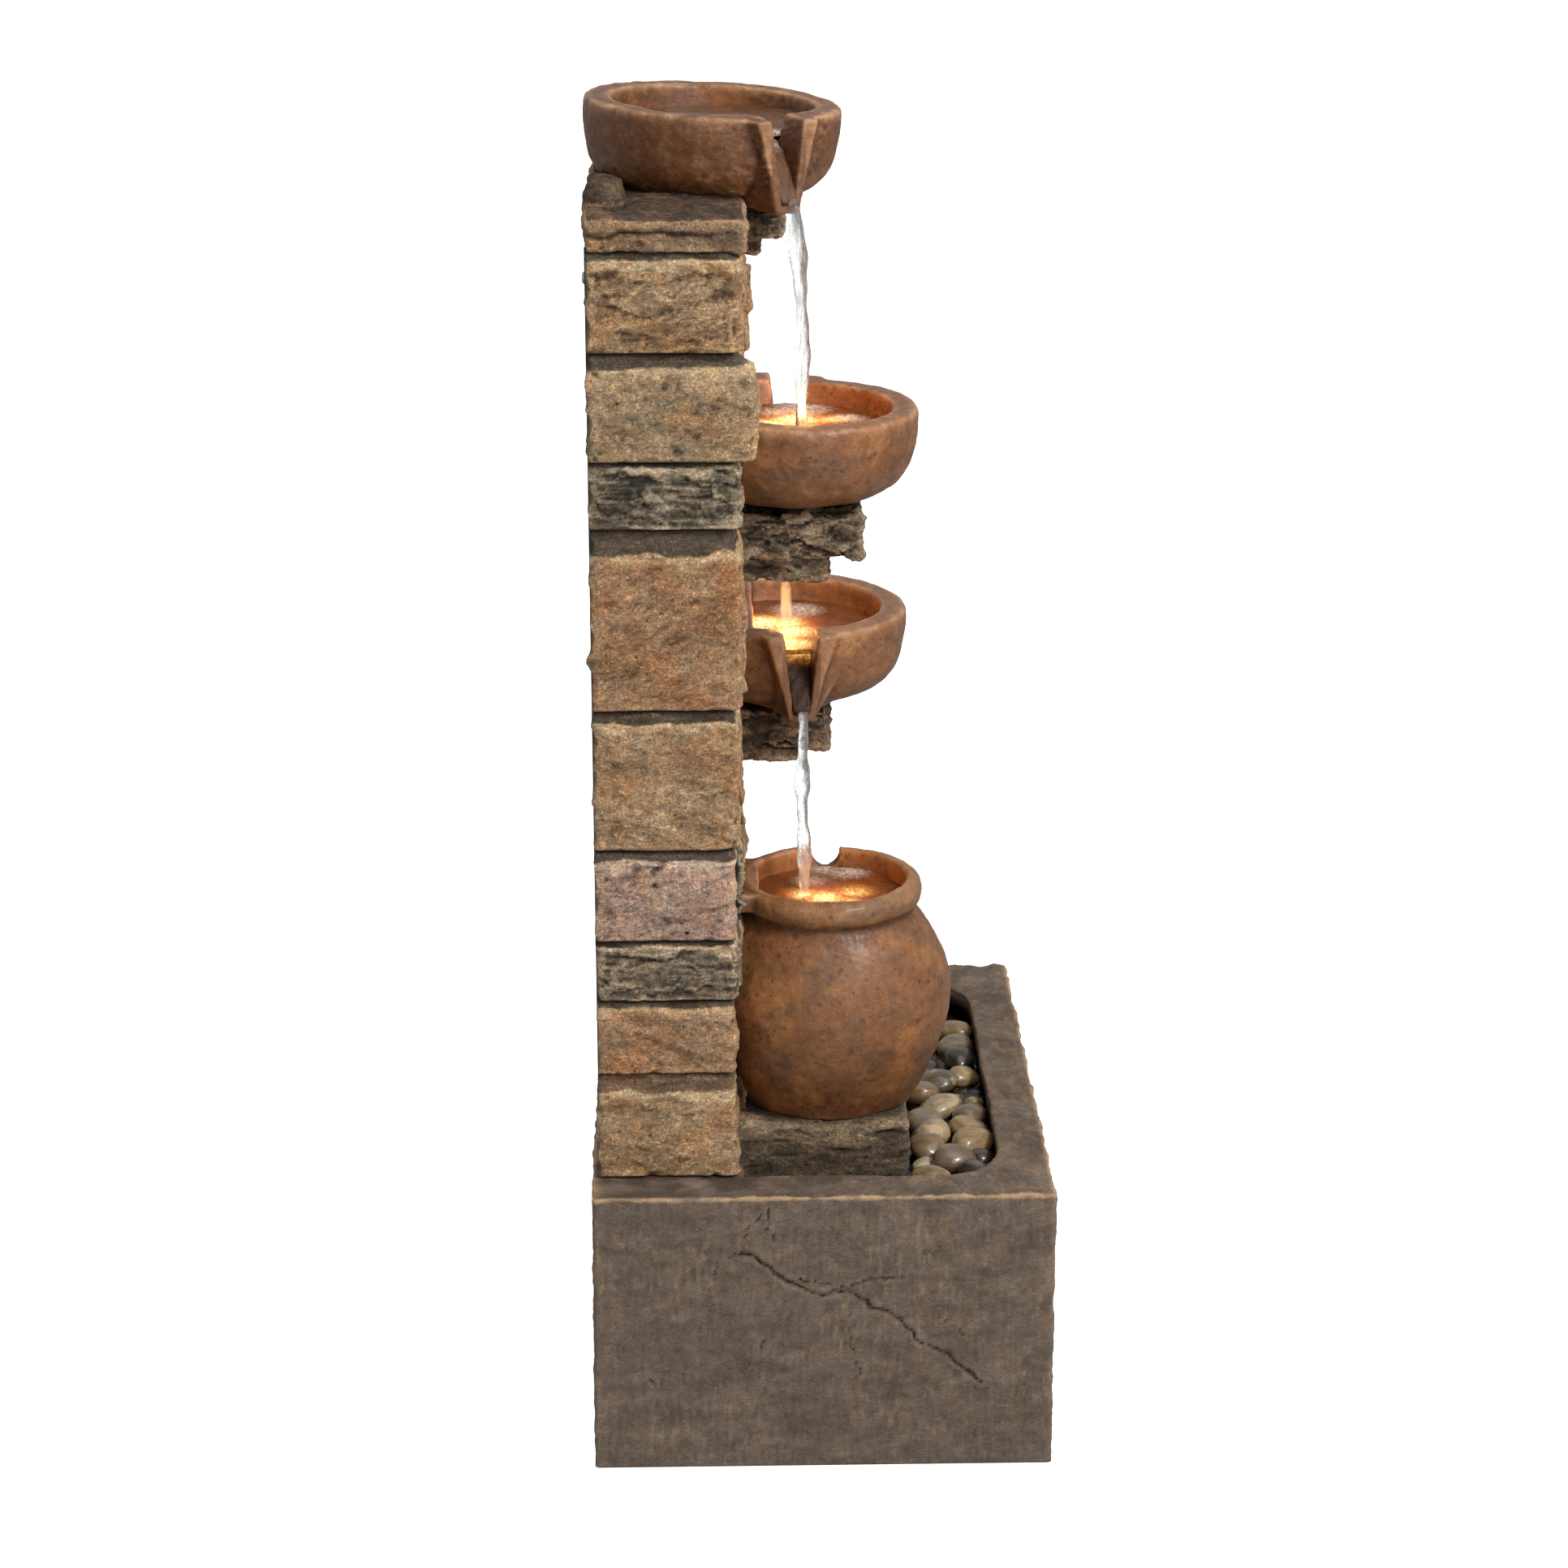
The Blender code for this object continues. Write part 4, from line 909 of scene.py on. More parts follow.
    rock = rocks(kinds, whole(index, 0).astype(int))
    # A painted highlight on the top band of each stone's face, where light from above catches its
    # edge.
    bare = 0.10 + 0.22 * np.clip(fractal(flat, (0.030, 1, 0.5), 92 + number, 4, 0.6), -0.4, 1)
    reach = 0.0075 + 0.0050 * fractal(flat, (0.022, 1, 0.5), 93 + number, 3)
    lit_crest = ramp(z - high + reach, 0.0, 0.0050) * (1 - ramp(shoulder, bare, bare + 0.10))
    lit_crest *= 0.80 + 0.45 * fractal(flat, 0.010, 90 + number, 4)
    slope = whole(ramp(shoulder, bare, bare + 0.10), 1.0)
    # Painted shadow: nearly black just under the overhang of the course above, and deep in the
    # upright joints.
    deep = whole(
        np.maximum(ramp(top - z, 0.0026, 0.0006) * (shoulder > 0), 1 - ramp(joint, 0.1, 0.9)), 1.0
    )
    tint = rock_tint(skin, rock, 100 + number, whole(holes, 0.0), 0.0, whole(0.92 * lit_crest, 0.0))
    worn = 1 + 0.6 * fractal(skin.points, (0.022, 0.022, 0.0034), 95, 3)
    tint = mixed(tint, np.array(COVES[min(number, 1)]) * worn[:, None], 0.88 * slope)
    rear = ramp(skin.points[:, 1], WALL_BACK_Y - 0.008, WALL_BACK_Y - 0.0015)
    tint = mixed(
        tint, (0.060, 0.052, 0.038), 0.7 * rear * unit(0.6 + fractal(skin.points, 0.012, 96, 3))
    )
    tint = mixed(tint, CREVICE_SHADE, 0.90 * deep)
    skin.paint(tint)
    settled(course, STONE, "wall_stone", "stone_wall")


def make_wall():
    rng = np.random.default_rng(5)
    for number in range(len(COURSES)):
        make_course(number, rng)


def carved(obj, rock, seed, material, voxel, slot, *nodes, smooth=2, amount=1.0):
    """Turns a rough form into weathered rock."""
    skin = Skin(remeshed(obj, voxel))
    skin.write(skin.relaxed(skin.points, smooth))
    relief, holes = rock_relief(skin.points, rock, seed)
    skin.push(relief * amount)
    skin.paint(rock_tint(skin, rock, seed, holes))
    settled(obj, material, slot, *nodes)
    return skin


CAP_LOW, CAP_SPLIT, CAP_TOP = 0.7672, 0.7785, 0.7885  # two layers of slabs


def make_capping():
    """The slabs on top of the wall and the lumps of rock behind the top bowl."""
    blocks = [
        ((x, front, CAP_LOW), (x_end, 0.1405, CAP_TOP))
        for x, x_end, front in (
            (-0.1655, -0.0560, 0.0455), (-0.0545, 0.0480, 0.0490), (0.0495, 0.1655, 0.0455)
        )
    ]
    lumps = [
        # middle and half sizes
        ((-0.1050, 0.1290, 0.7870), (0.0280, 0.0115, 0.0165)),
        ((-0.0640, 0.1320, 0.7860), (0.0300, 0.0085, 0.0110)),
        ((0.0900, 0.1260, 0.7850), (0.0380, 0.0140, 0.0135)),
    ]
    whole = block("wall_capping", *blocks[0])
    for number, (low, high) in enumerate(blocks[1:]):
        cut(whole, block(f"join_cap_{number}", low, high), "UNION")
    ball, faces = unit_ball()
    for number, (middle, size) in enumerate(lumps):
        blunt = np.sign(ball) * np.abs(ball) ** 0.65
        blunt *= 1 + 0.12 * noise(ball, 0.5, 215 + number)[:, None]
        cut(whole, new_object(f"join_lump_{number}", blunt * size + middle, faces), "UNION")
    skin = Skin(remeshed(whole, 0.0016))
    skin.write(skin.relaxed(skin.points, 8, 0.6))
    p = skin.points
    up, side = ramp(skin.normals[:, 2], 0.55, 0.9), ramp(np.abs(skin.normals[:, 2]), 0.6, 0.2)
    wander = 0.0034 * fractal(p, (0.026, 0.026, 1), 205, 4)
    groove = side * bell(p[:, 2], CAP_SPLIT + wander, 0.0013) * (p[:, 2] < CAP_TOP)
    relief, holes = rock_relief(p, CAP, 210)
    z = p[:, 2] - CAP_TOP
    brow = side * ramp(z, -0.0090, -0.0065) * ramp(z, 0.0020, -0.0005)
    groove = groove * ramp(fractal(p, 0.030, 207, 2), -0.45, 0.20)
    skin.push(relief - 0.0016 * groove + 0.0010 * brow)
    tint = rock_tint(skin, CAP, 210, holes)
    blotch = unit(0.75 + 0.5 * fractal(p, 0.020, 206, 3))
    # A painted highlight along the front brow of the top slabs.
    lit_crest = ramp(z, -0.0080, -0.0050) * ramp(z, 0.0020, -0.0005) * ramp(up, 0.95, 0.3)
    tint = mixed(tint, (0.44, 0.290, 0.168), 0.70 * lit_crest * blotch)
    tint = mixed(
        tint, tint * 0.30, 0.90 * np.maximum(ramp(up, 0.35, 1.0), ramp(z, 0.0015, 0.0040))
    )
    tint = mixed(tint, (0.045, 0.036, 0.026), 0.8 * groove)
    # Painted shade on the slab round and under the top bowl.
    bowl_shade = flat_gap(p, *BOWLS["top_bowl"]["centre"][:2])
    tint = mixed(tint, tint * 0.35, ramp(bowl_shade, 0.090, 0.062))
    skin.paint(tint)
    settled(whole, STONE, "wall_stone")


def make_front_stones():
    """The two small stones that stand out of the wall's front under its capping."""
    wide, back = 0.060, 0.060
    places = [(0.045, 0.0400, 0.693, 0.711), (0.050, 0.0450, 0.668, 0.690)]
    for number, (x, front, low, high) in enumerate(places):
        stone = block(f"front_stone_{number + 1}", (x, front, low), (x + wide, back, high))
        carved(stone, CAP, 230 + number, STONE, 0.0014, "wall_stone")


def grown(node, name, back=0.0):
    """A copy of a CAD node's form with its points welded, its back edge moved towards +Y."""
    obj = placed(name, NODES[node].data.copy())
    weld = obj.modifiers.new("Weld", "WELD")
    weld.merge_threshold = 0.00002
    evaluated(obj)
    high = max(v.co.y for v in obj.data.vertices)
    for vertex in obj.data.vertices:
        if vertex.co.y > high - 0.003:
            vertex.co.y += back
    return obj


def make_ledges():
    for number, node in enumerate(sorted(n for n in NODES if "ledge" in n)):
        stone = grown(node, node + "_rock", SET_IN_Y - LEDGE_BACK_Y)
        carved(stone, LEDGE, 300 + 10 * number, LEDGE_STONE, 0.0013, "ledge_stone", node,
               amount=0.7 if "lower_stone" in node else 1.1)


def make_plinth():
    """The pot's plinth, in two layers: a worn upper one and a dark, split lower one."""
    skin = carved(grown("pot_plinth", "plinth_block", 0.006), PLINTH, 380, LEDGE_STONE, 0.0014,
                  "ledge_stone", "pot_plinth", amount=0.8)
    p = skin.points
    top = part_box("pot_plinth")[1].z
    share = (p[:, 2] - BASE_HIGH.z) / (top - BASE_HIGH.z) + 0.20 * fractal(
        p, (0.040, 0.040, 0.008), 385, 4
    )
    splits = bell(share, 0.50, 0.050) + 0.7 * bell(share, 0.18, 0.040)
    splits *= ramp(fractal(p, 0.030, 387, 2), -0.5, 0.1)
    splits *= ramp(np.abs(skin.normals[:, 2]), 0.8, 0.4)
    skin.push(-0.0016 * splits)
    p = skin.points
    tint = rock_tint(skin, PLINTH, 380, rock_relief(p, PLINTH, 380)[1])
    tint = mixed(tint, (0.020, 0.016, 0.012), 0.8 * splits)
    tint = mixed(
        tint, (0.40, 0.300, 0.190),
        0.55 * ramp(share, 0.45, 0.70) * unit(0.7 + fractal(p, 0.014, 386, 4))
    )
    tint = tint * (1 - 0.42 * ramp(share, 0.56, 0.36))[:, None]
    # Painted shade on the plinth's top in a ring under the pot's belly, darkest at its foot.
    wet = ramp(flat_gap(p, *POT_CENTRE), 0.070, 0.058) * ramp(p[:, 2], top - 0.004, top)
    tint = mixed(tint, (0.050, 0.036, 0.024), 0.75 * wet)
    skin.mesh.attributes.remove(skin.mesh.attributes["tint"])
    skin.paint(tint)


CRACK = 0.001  # the width of a crack of strength 1
CRACKS = [
    # its strength, then its points over the basin's side at -X: y and z
    (1.0, [(0.054, 0.149), (0.043, 0.145), (0.028, 0.133), (0.020, 0.127), (0.003, 0.119),
           (-0.015, 0.121), (-0.030, 0.110), (-0.041, 0.106), (-0.053, 0.095), (-0.061, 0.085),
           (-0.076, 0.078), (-0.088, 0.067), (-0.099, 0.058)]),
    (0.6, [(0.016, 0.130), (-0.015, 0.124), (-0.031, 0.130), (-0.055, 0.130)]),
    (0.4, [(0.036, 0.176), (0.047, 0.164), (0.054, 0.149), (0.064, 0.141), (0.070, 0.126),
           (0.071, 0.113)]),
    (0.4, [(0.035, 0.178), (0.034, 0.164), (0.032, 0.151)]),
    (0.4, [(-0.019, 0.111), (-0.015, 0.100), (-0.018, 0.079), (-0.023, 0.061)]),
    (0.4, [(-0.070, 0.103), (-0.082, 0.095), (-0.093, 0.088)]),
    (0.6, [(0.114, 0.062), (0.106, 0.059)]),
    (0.3, [(0.039, 0.088), (0.040, 0.079), (0.045, 0.071), (0.053, 0.060)]),
]
FAR_CRACKS = [
    (0.8, [(0.110, 0.060), (0.075, 0.082), (0.060, 0.080), (0.022, 0.108), (-0.005, 0.104),
           (-0.040, 0.135), (-0.060, 0.160)]),
    (0.4, [(0.022, 0.108), (0.010, 0.130), (0.018, 0.160)]),
    (0.4, [(-0.090, 0.050), (-0.070, 0.072), (-0.078, 0.100)]),
]
FRONT_CRACKS = [
    (0.9, [(-0.170, 0.120), (-0.130, 0.112), (-0.105, 0.090), (-0.060, 0.085), (-0.030, 0.060),
           (0.010, 0.052)]),
    (0.5, [(-0.105, 0.090), (-0.095, 0.070), (-0.110, 0.045)]),
    (0.7, [(0.060, 0.170), (0.075, 0.140), (0.110, 0.128), (0.130, 0.100), (0.170, 0.092)]),
    (0.4, [(0.110, 0.128), (0.105, 0.150)]),
]


def crack_lines(points, axis, place, cracks, seed):
    """How far each point is from the nearest crack of one side, in that crack's widths. The side
    is where the axis has the given place."""
    across = 1 - axis
    flat = points[:, [across, 2]]
    shake = np.stack([noise(points, 0.007, seed), noise(points, 0.007, seed + 1)], 1)
    flat = flat + 0.0022 * shake + 0.0009 * np.stack([noise(points, 0.0022, seed + 2)] * 2, 1)
    nearest = np.full(len(points), 9.0)
    for strength, line in cracks:
        for a, b in zip(line, line[1:]):
            a, b = np.array(a), np.array(b)
            t = unit(((flat - a) @ (b - a)) / ((b - a) @ (b - a)))
            gap = flat - a - t[:, None] * (b - a)
            nearest = np.minimum(nearest, np.sqrt((gap**2).sum(1)) / CRACK / strength)
    return nearest + 2 * np.maximum(np.abs(points[:, axis] - place) / CRACK - 4, 0)


def crack_gap(points):
    """How far each point of the basin is from its nearest crack, in cracks' widths."""
    sides = (
        (0, BASE_LOW.x, CRACKS, 5), (0, BASE_HIGH.x, FAR_CRACKS, 15),
        (1, BASE_LOW.y, FRONT_CRACKS, 25)
    )
    return np.minimum.reduce([crack_lines(points, *side) for side in sides])


def edge_gap(points):
    """How far each point is from the basin's nearest side."""
    low, high = np.array(BASE_LOW), np.array(BASE_HIGH)
    return np.minimum(points - low, high - points)[:, :2].min(axis=1)


def round_loop(low, high, corner, counts):
    """Points round a rectangle with rounded corners, as many to each side as counts says,
    from the corner at -X, +Y down the side at -X. A corner's radius may be 0."""
    corners = [(low[0], high[1]), (low[0], low[1]), (high[0], low[1]), (high[0], high[1])]
    loop = []
    for side in range(4):
        start, end = np.array(corners[side]), np.array(corners[(side + 1) % 4])
        inward = np.array(corners[(side + 3) % 4]) - start
        inward = inward / np.linalg.norm(inward)
        along = (end - start) / np.linalg.norm(end - start)
        length = np.linalg.norm(end - start)
        for step in np.linspace(0, 1, counts[side], endpoint=False):
            s = step * length
            point = start + along * s
            for radius, distance in ((corner[side], s), (corner[(side + 1) % 4], length - s)):
                if radius and distance < radius:
                    # a point at the corner moves in by its distance from the arc
                    turn = (1 - distance / radius) * math.pi / 4
                    straight = along if distance == s else -along
                    centre = (start if distance == s else end) + radius * (straight + inward)
                    point = centre - radius * (inward * math.cos(turn) + straight * math.sin(turn))
            loop.append(point)
    return np.array(loop)


def make_base():
    """The tub: fine rings for its sides, its deck and the pool's wall, coarse ones inside."""
    low, high = np.array(BASE_LOW[:2]), np.array(BASE_HIGH[:2])
    top = BASE_HIGH.z
    counts = [190, 190, 140, 190]
    edge, taper = 0.0018, 0.001

    def outer(inset, radius=0.003):
        return round_loop(low + inset, high - inset, [radius] * 4, counts)

    rings = []
    for z in spaced([0.0, top - edge], 0.0012, 0.0019, 0.004):
        rings.append((outer(taper * z / top), z))
    for turn in (30, 60, 90):
        angle = math.radians(turn)
        rings.append(
            (outer(taper + edge * (1 - math.cos(angle))), top - edge * (1 - math.sin(angle)))
        )
    rim = outer(taper + edge)
    pool = round_loop(np.array([POOL_X[0], POOL_Y[0]]), np.array([POOL_X[1], POOL_Y[1]]),
                      [0.0015, POOL_CORNER, POOL_CORNER, 0.0015], counts)
    for share in np.linspace(0, 1, 19)[1:]:
        rings.append((rim + (pool - rim) * share, top))
    first_pool = len(rings) - 1
    for drop in (0.0010, 0.0025, 0.0045, 0.0070, 0.0095, DECK):
        rings.append((pool, top - drop))
    fine = len(rings)
    inside = round_loop(low + SHELL, high - SHELL, [0.003] * 4, counts)
    rings += [(inside, top - DECK), (inside, SHELL)]
    grid = np.array([level_ring(loop, z) for loop, z in rings])
    # the pool's edge is rounded over
    grid[first_pool, :, 2] -= 0.0006
    basin = oriented(ringed("basin_tub", grid))
    skin = Skin(basin)
    p = skin.points
    shown = np.repeat(np.arange(len(rings)) < fine, grid.shape[1])
    relief = rock_relief(p, BASE, 400)[0]
    folds = ridges(p, (0.030, 0.030, 0.045), 440, 3, 0.6)
    relief += 0.0010 * (folds - 0.6) + 0.00030 * fractal(p, (0.0028, 0.0028, 0.009), 450, 3)
    rim_gap = np.hypot(edge_gap(p), top - p[:, 2])
    relief += 0.0010 * fractal(p, (0.016, 0.016, 0.03), 455, 4, 0.6) * ramp(rim_gap, 0.009, 0.002)
    crack = crack_gap(p)
    lips = unit(0.5 + noise(p, 0.012, 33))
    relief += 0.0010 * lips * bell(crack, 2.8, 2.0) - 0.0012 * bell(crack, 0.0, 1.0)
    footed = ramp(p[:, 2], 0.0005, 0.006)
    under_wall = ramp(p[:, 1], 0.075, 0.060) + ramp(p[:, 2], top - 0.0005, top - 0.002)
    skin.push(np.where(shown, relief * footed * unit(under_wall), 0))
    service = block(
        "cut_service", (-CAVITY_X, CAVITY_Y + 0.004, top - 0.02), (CAVITY_X, 0.128, top + 0.02)
    )
    evaluated(cut(basin, service))
    skin = Skin(basin)
    p = skin.points
    tint = rock_tint(skin, BASE, 400, warm=0.1)
    dashes = ramp(fractal(p, (0.0030, 0.0030, 0.012), 460, 3, 0.6), 0.20, 0.9)
    tint = mixed(
        tint, (0.42, 0.32, 0.22), 0.40 * dashes * ramp(fractal(p, 0.06, 461, 2), -0.4, 0.5)
    )
    tint = varied(tint, 0.16, fractal(p, (0.0022, 0.0022, 0.020), 462, 3, 0.6))
    side = edge_gap(p)
    brink = np.hypot(side - 0.001, top - p[:, 2])
    line = ramp(brink, 0.0026, 0.0012) * unit(0.8 + 0.6 * fractal(p, 0.010, 470, 3))
    tint = mixed(tint, (0.62, 0.43, 0.25), 0.8 * line)
    deck = ramp(p[:, 2], top - 0.002, top - 0.0008) * ramp(side, 0.001, 0.004)
    damp = ramp(fractal(p, 0.022, 480, 4), -0.4, 0.5)
    tint = mixed(tint, tint * 0.86, deck)
    tint = mixed(
        tint, (0.070, 0.048, 0.032), deck * damp * (0.40 + 0.45 * ramp(p[:, 1], -0.06, 0.03))
    )
    scuffs = ramp(fractal(p, (0.016, 0.010, 1), 482, 5, 0.65), 0.0, 0.7)
    scuffs *= ramp(p[:, 1], 0.04, -0.06)
    tint = mixed(tint, (0.34, 0.245, 0.160), 0.36 * deck * scuffs)
    # Painted shade: nearly black below the deck, on the lower pool wall and inside the tub.
    tint = mixed(
        tint, (0.016, 0.012, 0.009), ramp(top - p[:, 2], 0.003, 0.009) * ramp(side, 0.015, 0.025)
    )
    skin.paint(tint)
    skin.paint(crack_gap(p) * CRACK, "crack")
    settled(basin, BASE_STONE, "base_resin", "base_basin")


# Terracotta

OUTER_BOWL = [(0.0765, 0.0), (0.0790, -0.0025), (0.0790, -0.0140), (0.0775, -0.0260),
              (0.0745, -0.0365), (0.0675, -0.0460), (0.0560, -0.0530), (0.0420, -0.0570)]
INNER_BOWL = [(0.0640, 0.0), (0.0625, -0.0020), (0.0605, -0.0120), (0.0560, -0.0240),
              (0.0470, -0.0340), (0.0340, -0.0405), (0.0200, -0.0430)]
# a cheek's outline at three heights, from inside the bowl to its front edge
CHEEKS = [
    (-0.0550, [(0.0000, 0.0300), (0.0248, 0.0434), (0.0560, 0.0170), (0.0790, 0.0090),
               (0.0870, 0.0080)]),
    (-0.0275, [(0.0200, 0.0360), (0.0636, 0.0442), (0.0725, 0.0270), (0.0775, 0.0165),
               (0.0850, 0.0140)]),
    (-0.0004, [(0.0300, 0.0400), (0.0632, 0.0473), (0.0710, 0.0335), (0.0755, 0.0255),
               (0.0825, 0.0215)]),
]
BOWL_SEGMENTS = 144


def clay_tint(skin, seed, tone, worn):
    """Terracotta's colour from its place, its crevices and its rubbed edges."""
    points = skin.points
    tint = np.broadcast_to(np.array([0.225, 0.083, 0.026]), points.shape).copy()
    tint = mixed(tint, (0.350, 0.135, 0.040), ramp(fractal(points, 0.035, seed, 3), -0.1, 0.7))
    tint = mixed(
        tint, (0.165, 0.070, 0.030), 0.8 * ramp(fractal(points, 0.028, seed + 5, 4), 0.0, 0.8)
    )
    grime = fractal(points, (0.020, 0.020, 0.013), seed + 9, 5, 0.62)
    tint = mixed(tint, (0.070, 0.030, 0.013), 0.45 * ramp(grime, 0.15, 1.0))
    specks = pits(points, 0.0036, seed + 21, 0.50) * ramp(
        fractal(points, 0.03, seed + 22, 2), -0.4, 0.4
    )
    tint = mixed(tint, (0.030, 0.014, 0.007), 0.75 * specks)
    near = skin.relief(3) / 0.00020
    wide = skin.relief(30) / 0.0016
    tint = mixed(tint, (0.040, 0.019, 0.010), unit(-near) * 0.4 + np.clip(-wide, 0, 1.2) * 0.5)
    tint = tint * tone
    rubbed = np.clip(0.6 + 0.6 * fractal(points, 0.014, seed + 13, 3), 0.15, 1)
    tint = mixed(
        tint, (0.56, 0.310, 0.155), worn * rubbed * (unit(near) * 0.30 + unit(1.2 * wide) * 0.65)
    )
    return tint


def fired(obj, seed, voxel, node, tone, stained, worn=1.0, flaked=None, spout=None):
    """Turns a rough form into worn terracotta. flaked is a sphere with a flaky skin, its middle
    and radius; spout is where a bowl's spout is."""
    skin = Skin(remeshed(obj, voxel))
    skin.write(skin.relaxed(skin.points, 2))
    p = skin.points
    amount = 0.0008 * fractal(p, 0.040, seed, 2) + 0.00030 * fractal(p, 0.009, seed + 3, 3)
    amount -= 0.0004 * pits(p, 0.0075, seed + 4, 0.22)
    if flaked:
        centre, reach = flaked
        near = ramp(np.sqrt(((p - np.array(centre)) ** 2).sum(1)), reach, 0.3 * reach)
        lean = p @ np.array(Matrix.Rotation(0.6, 3, "Y"))
        amount += near * 0.0017 * (ridges(lean, (0.020, 0.020, 0.007), seed + 6, 4, 0.6) - 0.6)
    skin.push(amount)
    tint = clay_tint(skin, seed, tone, worn)
    foot = p[:, 2].min()
    below = ramp(p[:, 2], foot + 0.42 * (p[:, 2].max() - foot), foot)
    below *= unit(0.8 + 0.5 * fractal(p, 0.02, seed + 30, 3))
    tint = mixed(tint, tint * (0.62, 0.52, 0.40), stained * below)
    if spout:
        away = np.array(spout.inverted())
        u, v, w = (p @ away[:3, :3].T + away[:3, 3]).T
        # A painted highlight on the front faces of the spout's cheeks.
        front = 0.0825 - 0.0045 * w / 0.055
        face = ramp(u, front - 0.0022, front - 0.0008) * (np.abs(v) < 0.030)
        tint = mixed(tint, (0.42, 0.205, 0.092), 0.60 * face)
        wet = ramp(np.abs(v), 0.0130, 0.0115) * ramp(w, -0.006, -0.014) * (u > 0.055)
        tint = mixed(tint, (0.10, 0.032, 0.010), 0.65 * wet)
    skin.paint(tint)
    settled(obj, TERRACOTTA, "terracotta", node)


def bowl_place(bowl, turned=False):
    """Where a bowl's own frame is: its rim's middle, and turned to its spout if asked."""
    lean = Matrix.Rotation(math.atan(bowl["tilt"]), 4, "X")
    turn = Matrix.Rotation(math.radians(bowl["spout"]), 4, "Z") if turned else Matrix()
    return Matrix.Translation(bowl["centre"]) @ lean @ turn


def make_bowl(node, bowl):
    """A bowl with the two cheeks of its spout, hollowed and with the V cut; a flat back plate
    closes it where it meets the wall."""
    place, spout = bowl_place(bowl), bowl_place(bowl, True)
    outer = [(0.0, 0.0), *smooth_line(OUTER_BOWL, 3), (0.0, -BOWL_HEIGHT)]
    inner = [(0.0, 0.0100), (0.0642, 0.0100), *smooth_line(INNER_BOWL, 3), (0.0, -0.0430)]
    clay = lathe(node + "_clay", outer, BOWL_SEGMENTS, place)
    cheeks = lofted("join_cheeks", [
        [(u, side * v, w) for side, half in ((-1, levels), (1, levels[::-1])) for u, v in half]
        for w, levels in CHEEKS
    ], spout)
    cut(clay, cheeks, "UNION")
    hollow = lathe("cut_hollow", inner, BOWL_SEGMENTS, place)
    if node != "top_bowl":
        reach = 2 * BOWL_RADIUS
        x, _, z = bowl["centre"]
        cut(hollow, block(
            "cut_hollow_back", (x - reach, BOWL_BACK_Y, z - reach), (x + reach, 0.3, z + reach)
        ))
        evaluated(hollow)
        cut(clay, block("cut_back", (x - reach, SET_IN_Y, z - reach), (x + reach, 0.3, z + reach)))
    cut(clay, hollow)
    cut(clay, lofted("cut_gutter", [
        [(u, -half, floor), (u, half, floor), (u, GUTTER_TOP_HALF, GUTTER_TOP),
         (u, -GUTTER_TOP_HALF, GUTTER_TOP)]
        for u, floor, half in zip(GUTTER_U, GUTTER_FLOOR, GUTTER_HALF)
    ], spout))
    x, y, z = bowl["centre"]
    flaked = ((x - 0.06, y - 0.03, z - 0.02), 0.06) if node == "top_bowl" else None
    fired(clay, bowl["seed"], 0.00118, node, tone=bowl["tone"], stained=bowl["stained"],
          flaked=flaked, spout=spout)


def make_pot():
    """The pot: a belly with a rolled lip, an open cup, a notch and a saddle to the wall."""
    place = Matrix.Translation((*POT_CENTRE, 0.0))
    lip = [(0.0493, 0.3570), (0.0520, POT_RIM), (0.0560, 0.3570), (0.0590, 0.3540),
           (0.0600, 0.3495), (0.0588, 0.3445), (0.0550, 0.3405)]
    belly = [(0.0556, 0.3365), (0.0625, 0.3275), (0.0705, 0.3130), (0.0762, 0.2980),
             (0.0780, 0.2830), (0.0765, 0.2660), (0.0715, 0.2460), (0.0640, 0.2285),
             (0.0560, POT_FOOT)]
    cup = [(0.0430, POT_FLOOR), (0.0470, 0.2900), (0.0478, 0.3350)]
    profile = [(0.0, POT_FLOOR), *cup, *smooth_line([*lip, *belly], 3), (0.0, POT_FOOT)]
    pot = lathe("pot_clay", profile, BOWL_SEGMENTS, place)
    x, y = POT_CENTRE
    cut(pot, block("join_saddle", (x - 0.036, y + 0.0440, 0.3450), (x + 0.036, 0.0600, 0.3566)),
        "UNION")
    cut(pot, block("cut_pot_back", (x - 0.1, SET_IN_Y, 0.1), (x + 0.1, 0.3, 0.5)))
    notch = lathe("cut_notch", [(0.0085, 0.03), (0.0085, -0.03)], 32,
                  Matrix.Translation((x + 0.06, y, 0.3530)) @ Matrix.Rotation(math.pi / 2, 4, "Y"))
    cut(pot, notch)
    cut(pot, block("cut_notch_top", (x + 0.03, y - 0.0085, 0.3530), (x + 0.09, y + 0.0085, 0.37)))
    fired(pot, 51, 0.00125, "overflow_pot", tone=(1.06, 1.10, 1.08), worn=0.60, stained=1.2)


# Pebbles

PEBBLE_TINTS = [(0.44, 0.32, 0.175), (0.30, 0.195, 0.092), (0.21, 0.132, 0.062),
                (0.110, 0.078, 0.044), (0.56, 0.46, 0.31), (0.036, 0.027, 0.018),
                (0.23, 0.150, 0.078), (0.37, 0.260, 0.130), (0.17, 0.112, 0.070),
                (0.20, 0.148, 0.090)]


def unit_ball():
    bm = bmesh.new()
    bmesh.ops.create_icosphere(bm, subdivisions=4, radius=1.0)
    points = np.array([v.co[:] for v in bm.verts])
    faces = [[v.index for v in f.verts] for f in bm.faces]
    bm.free()
    return points, faces


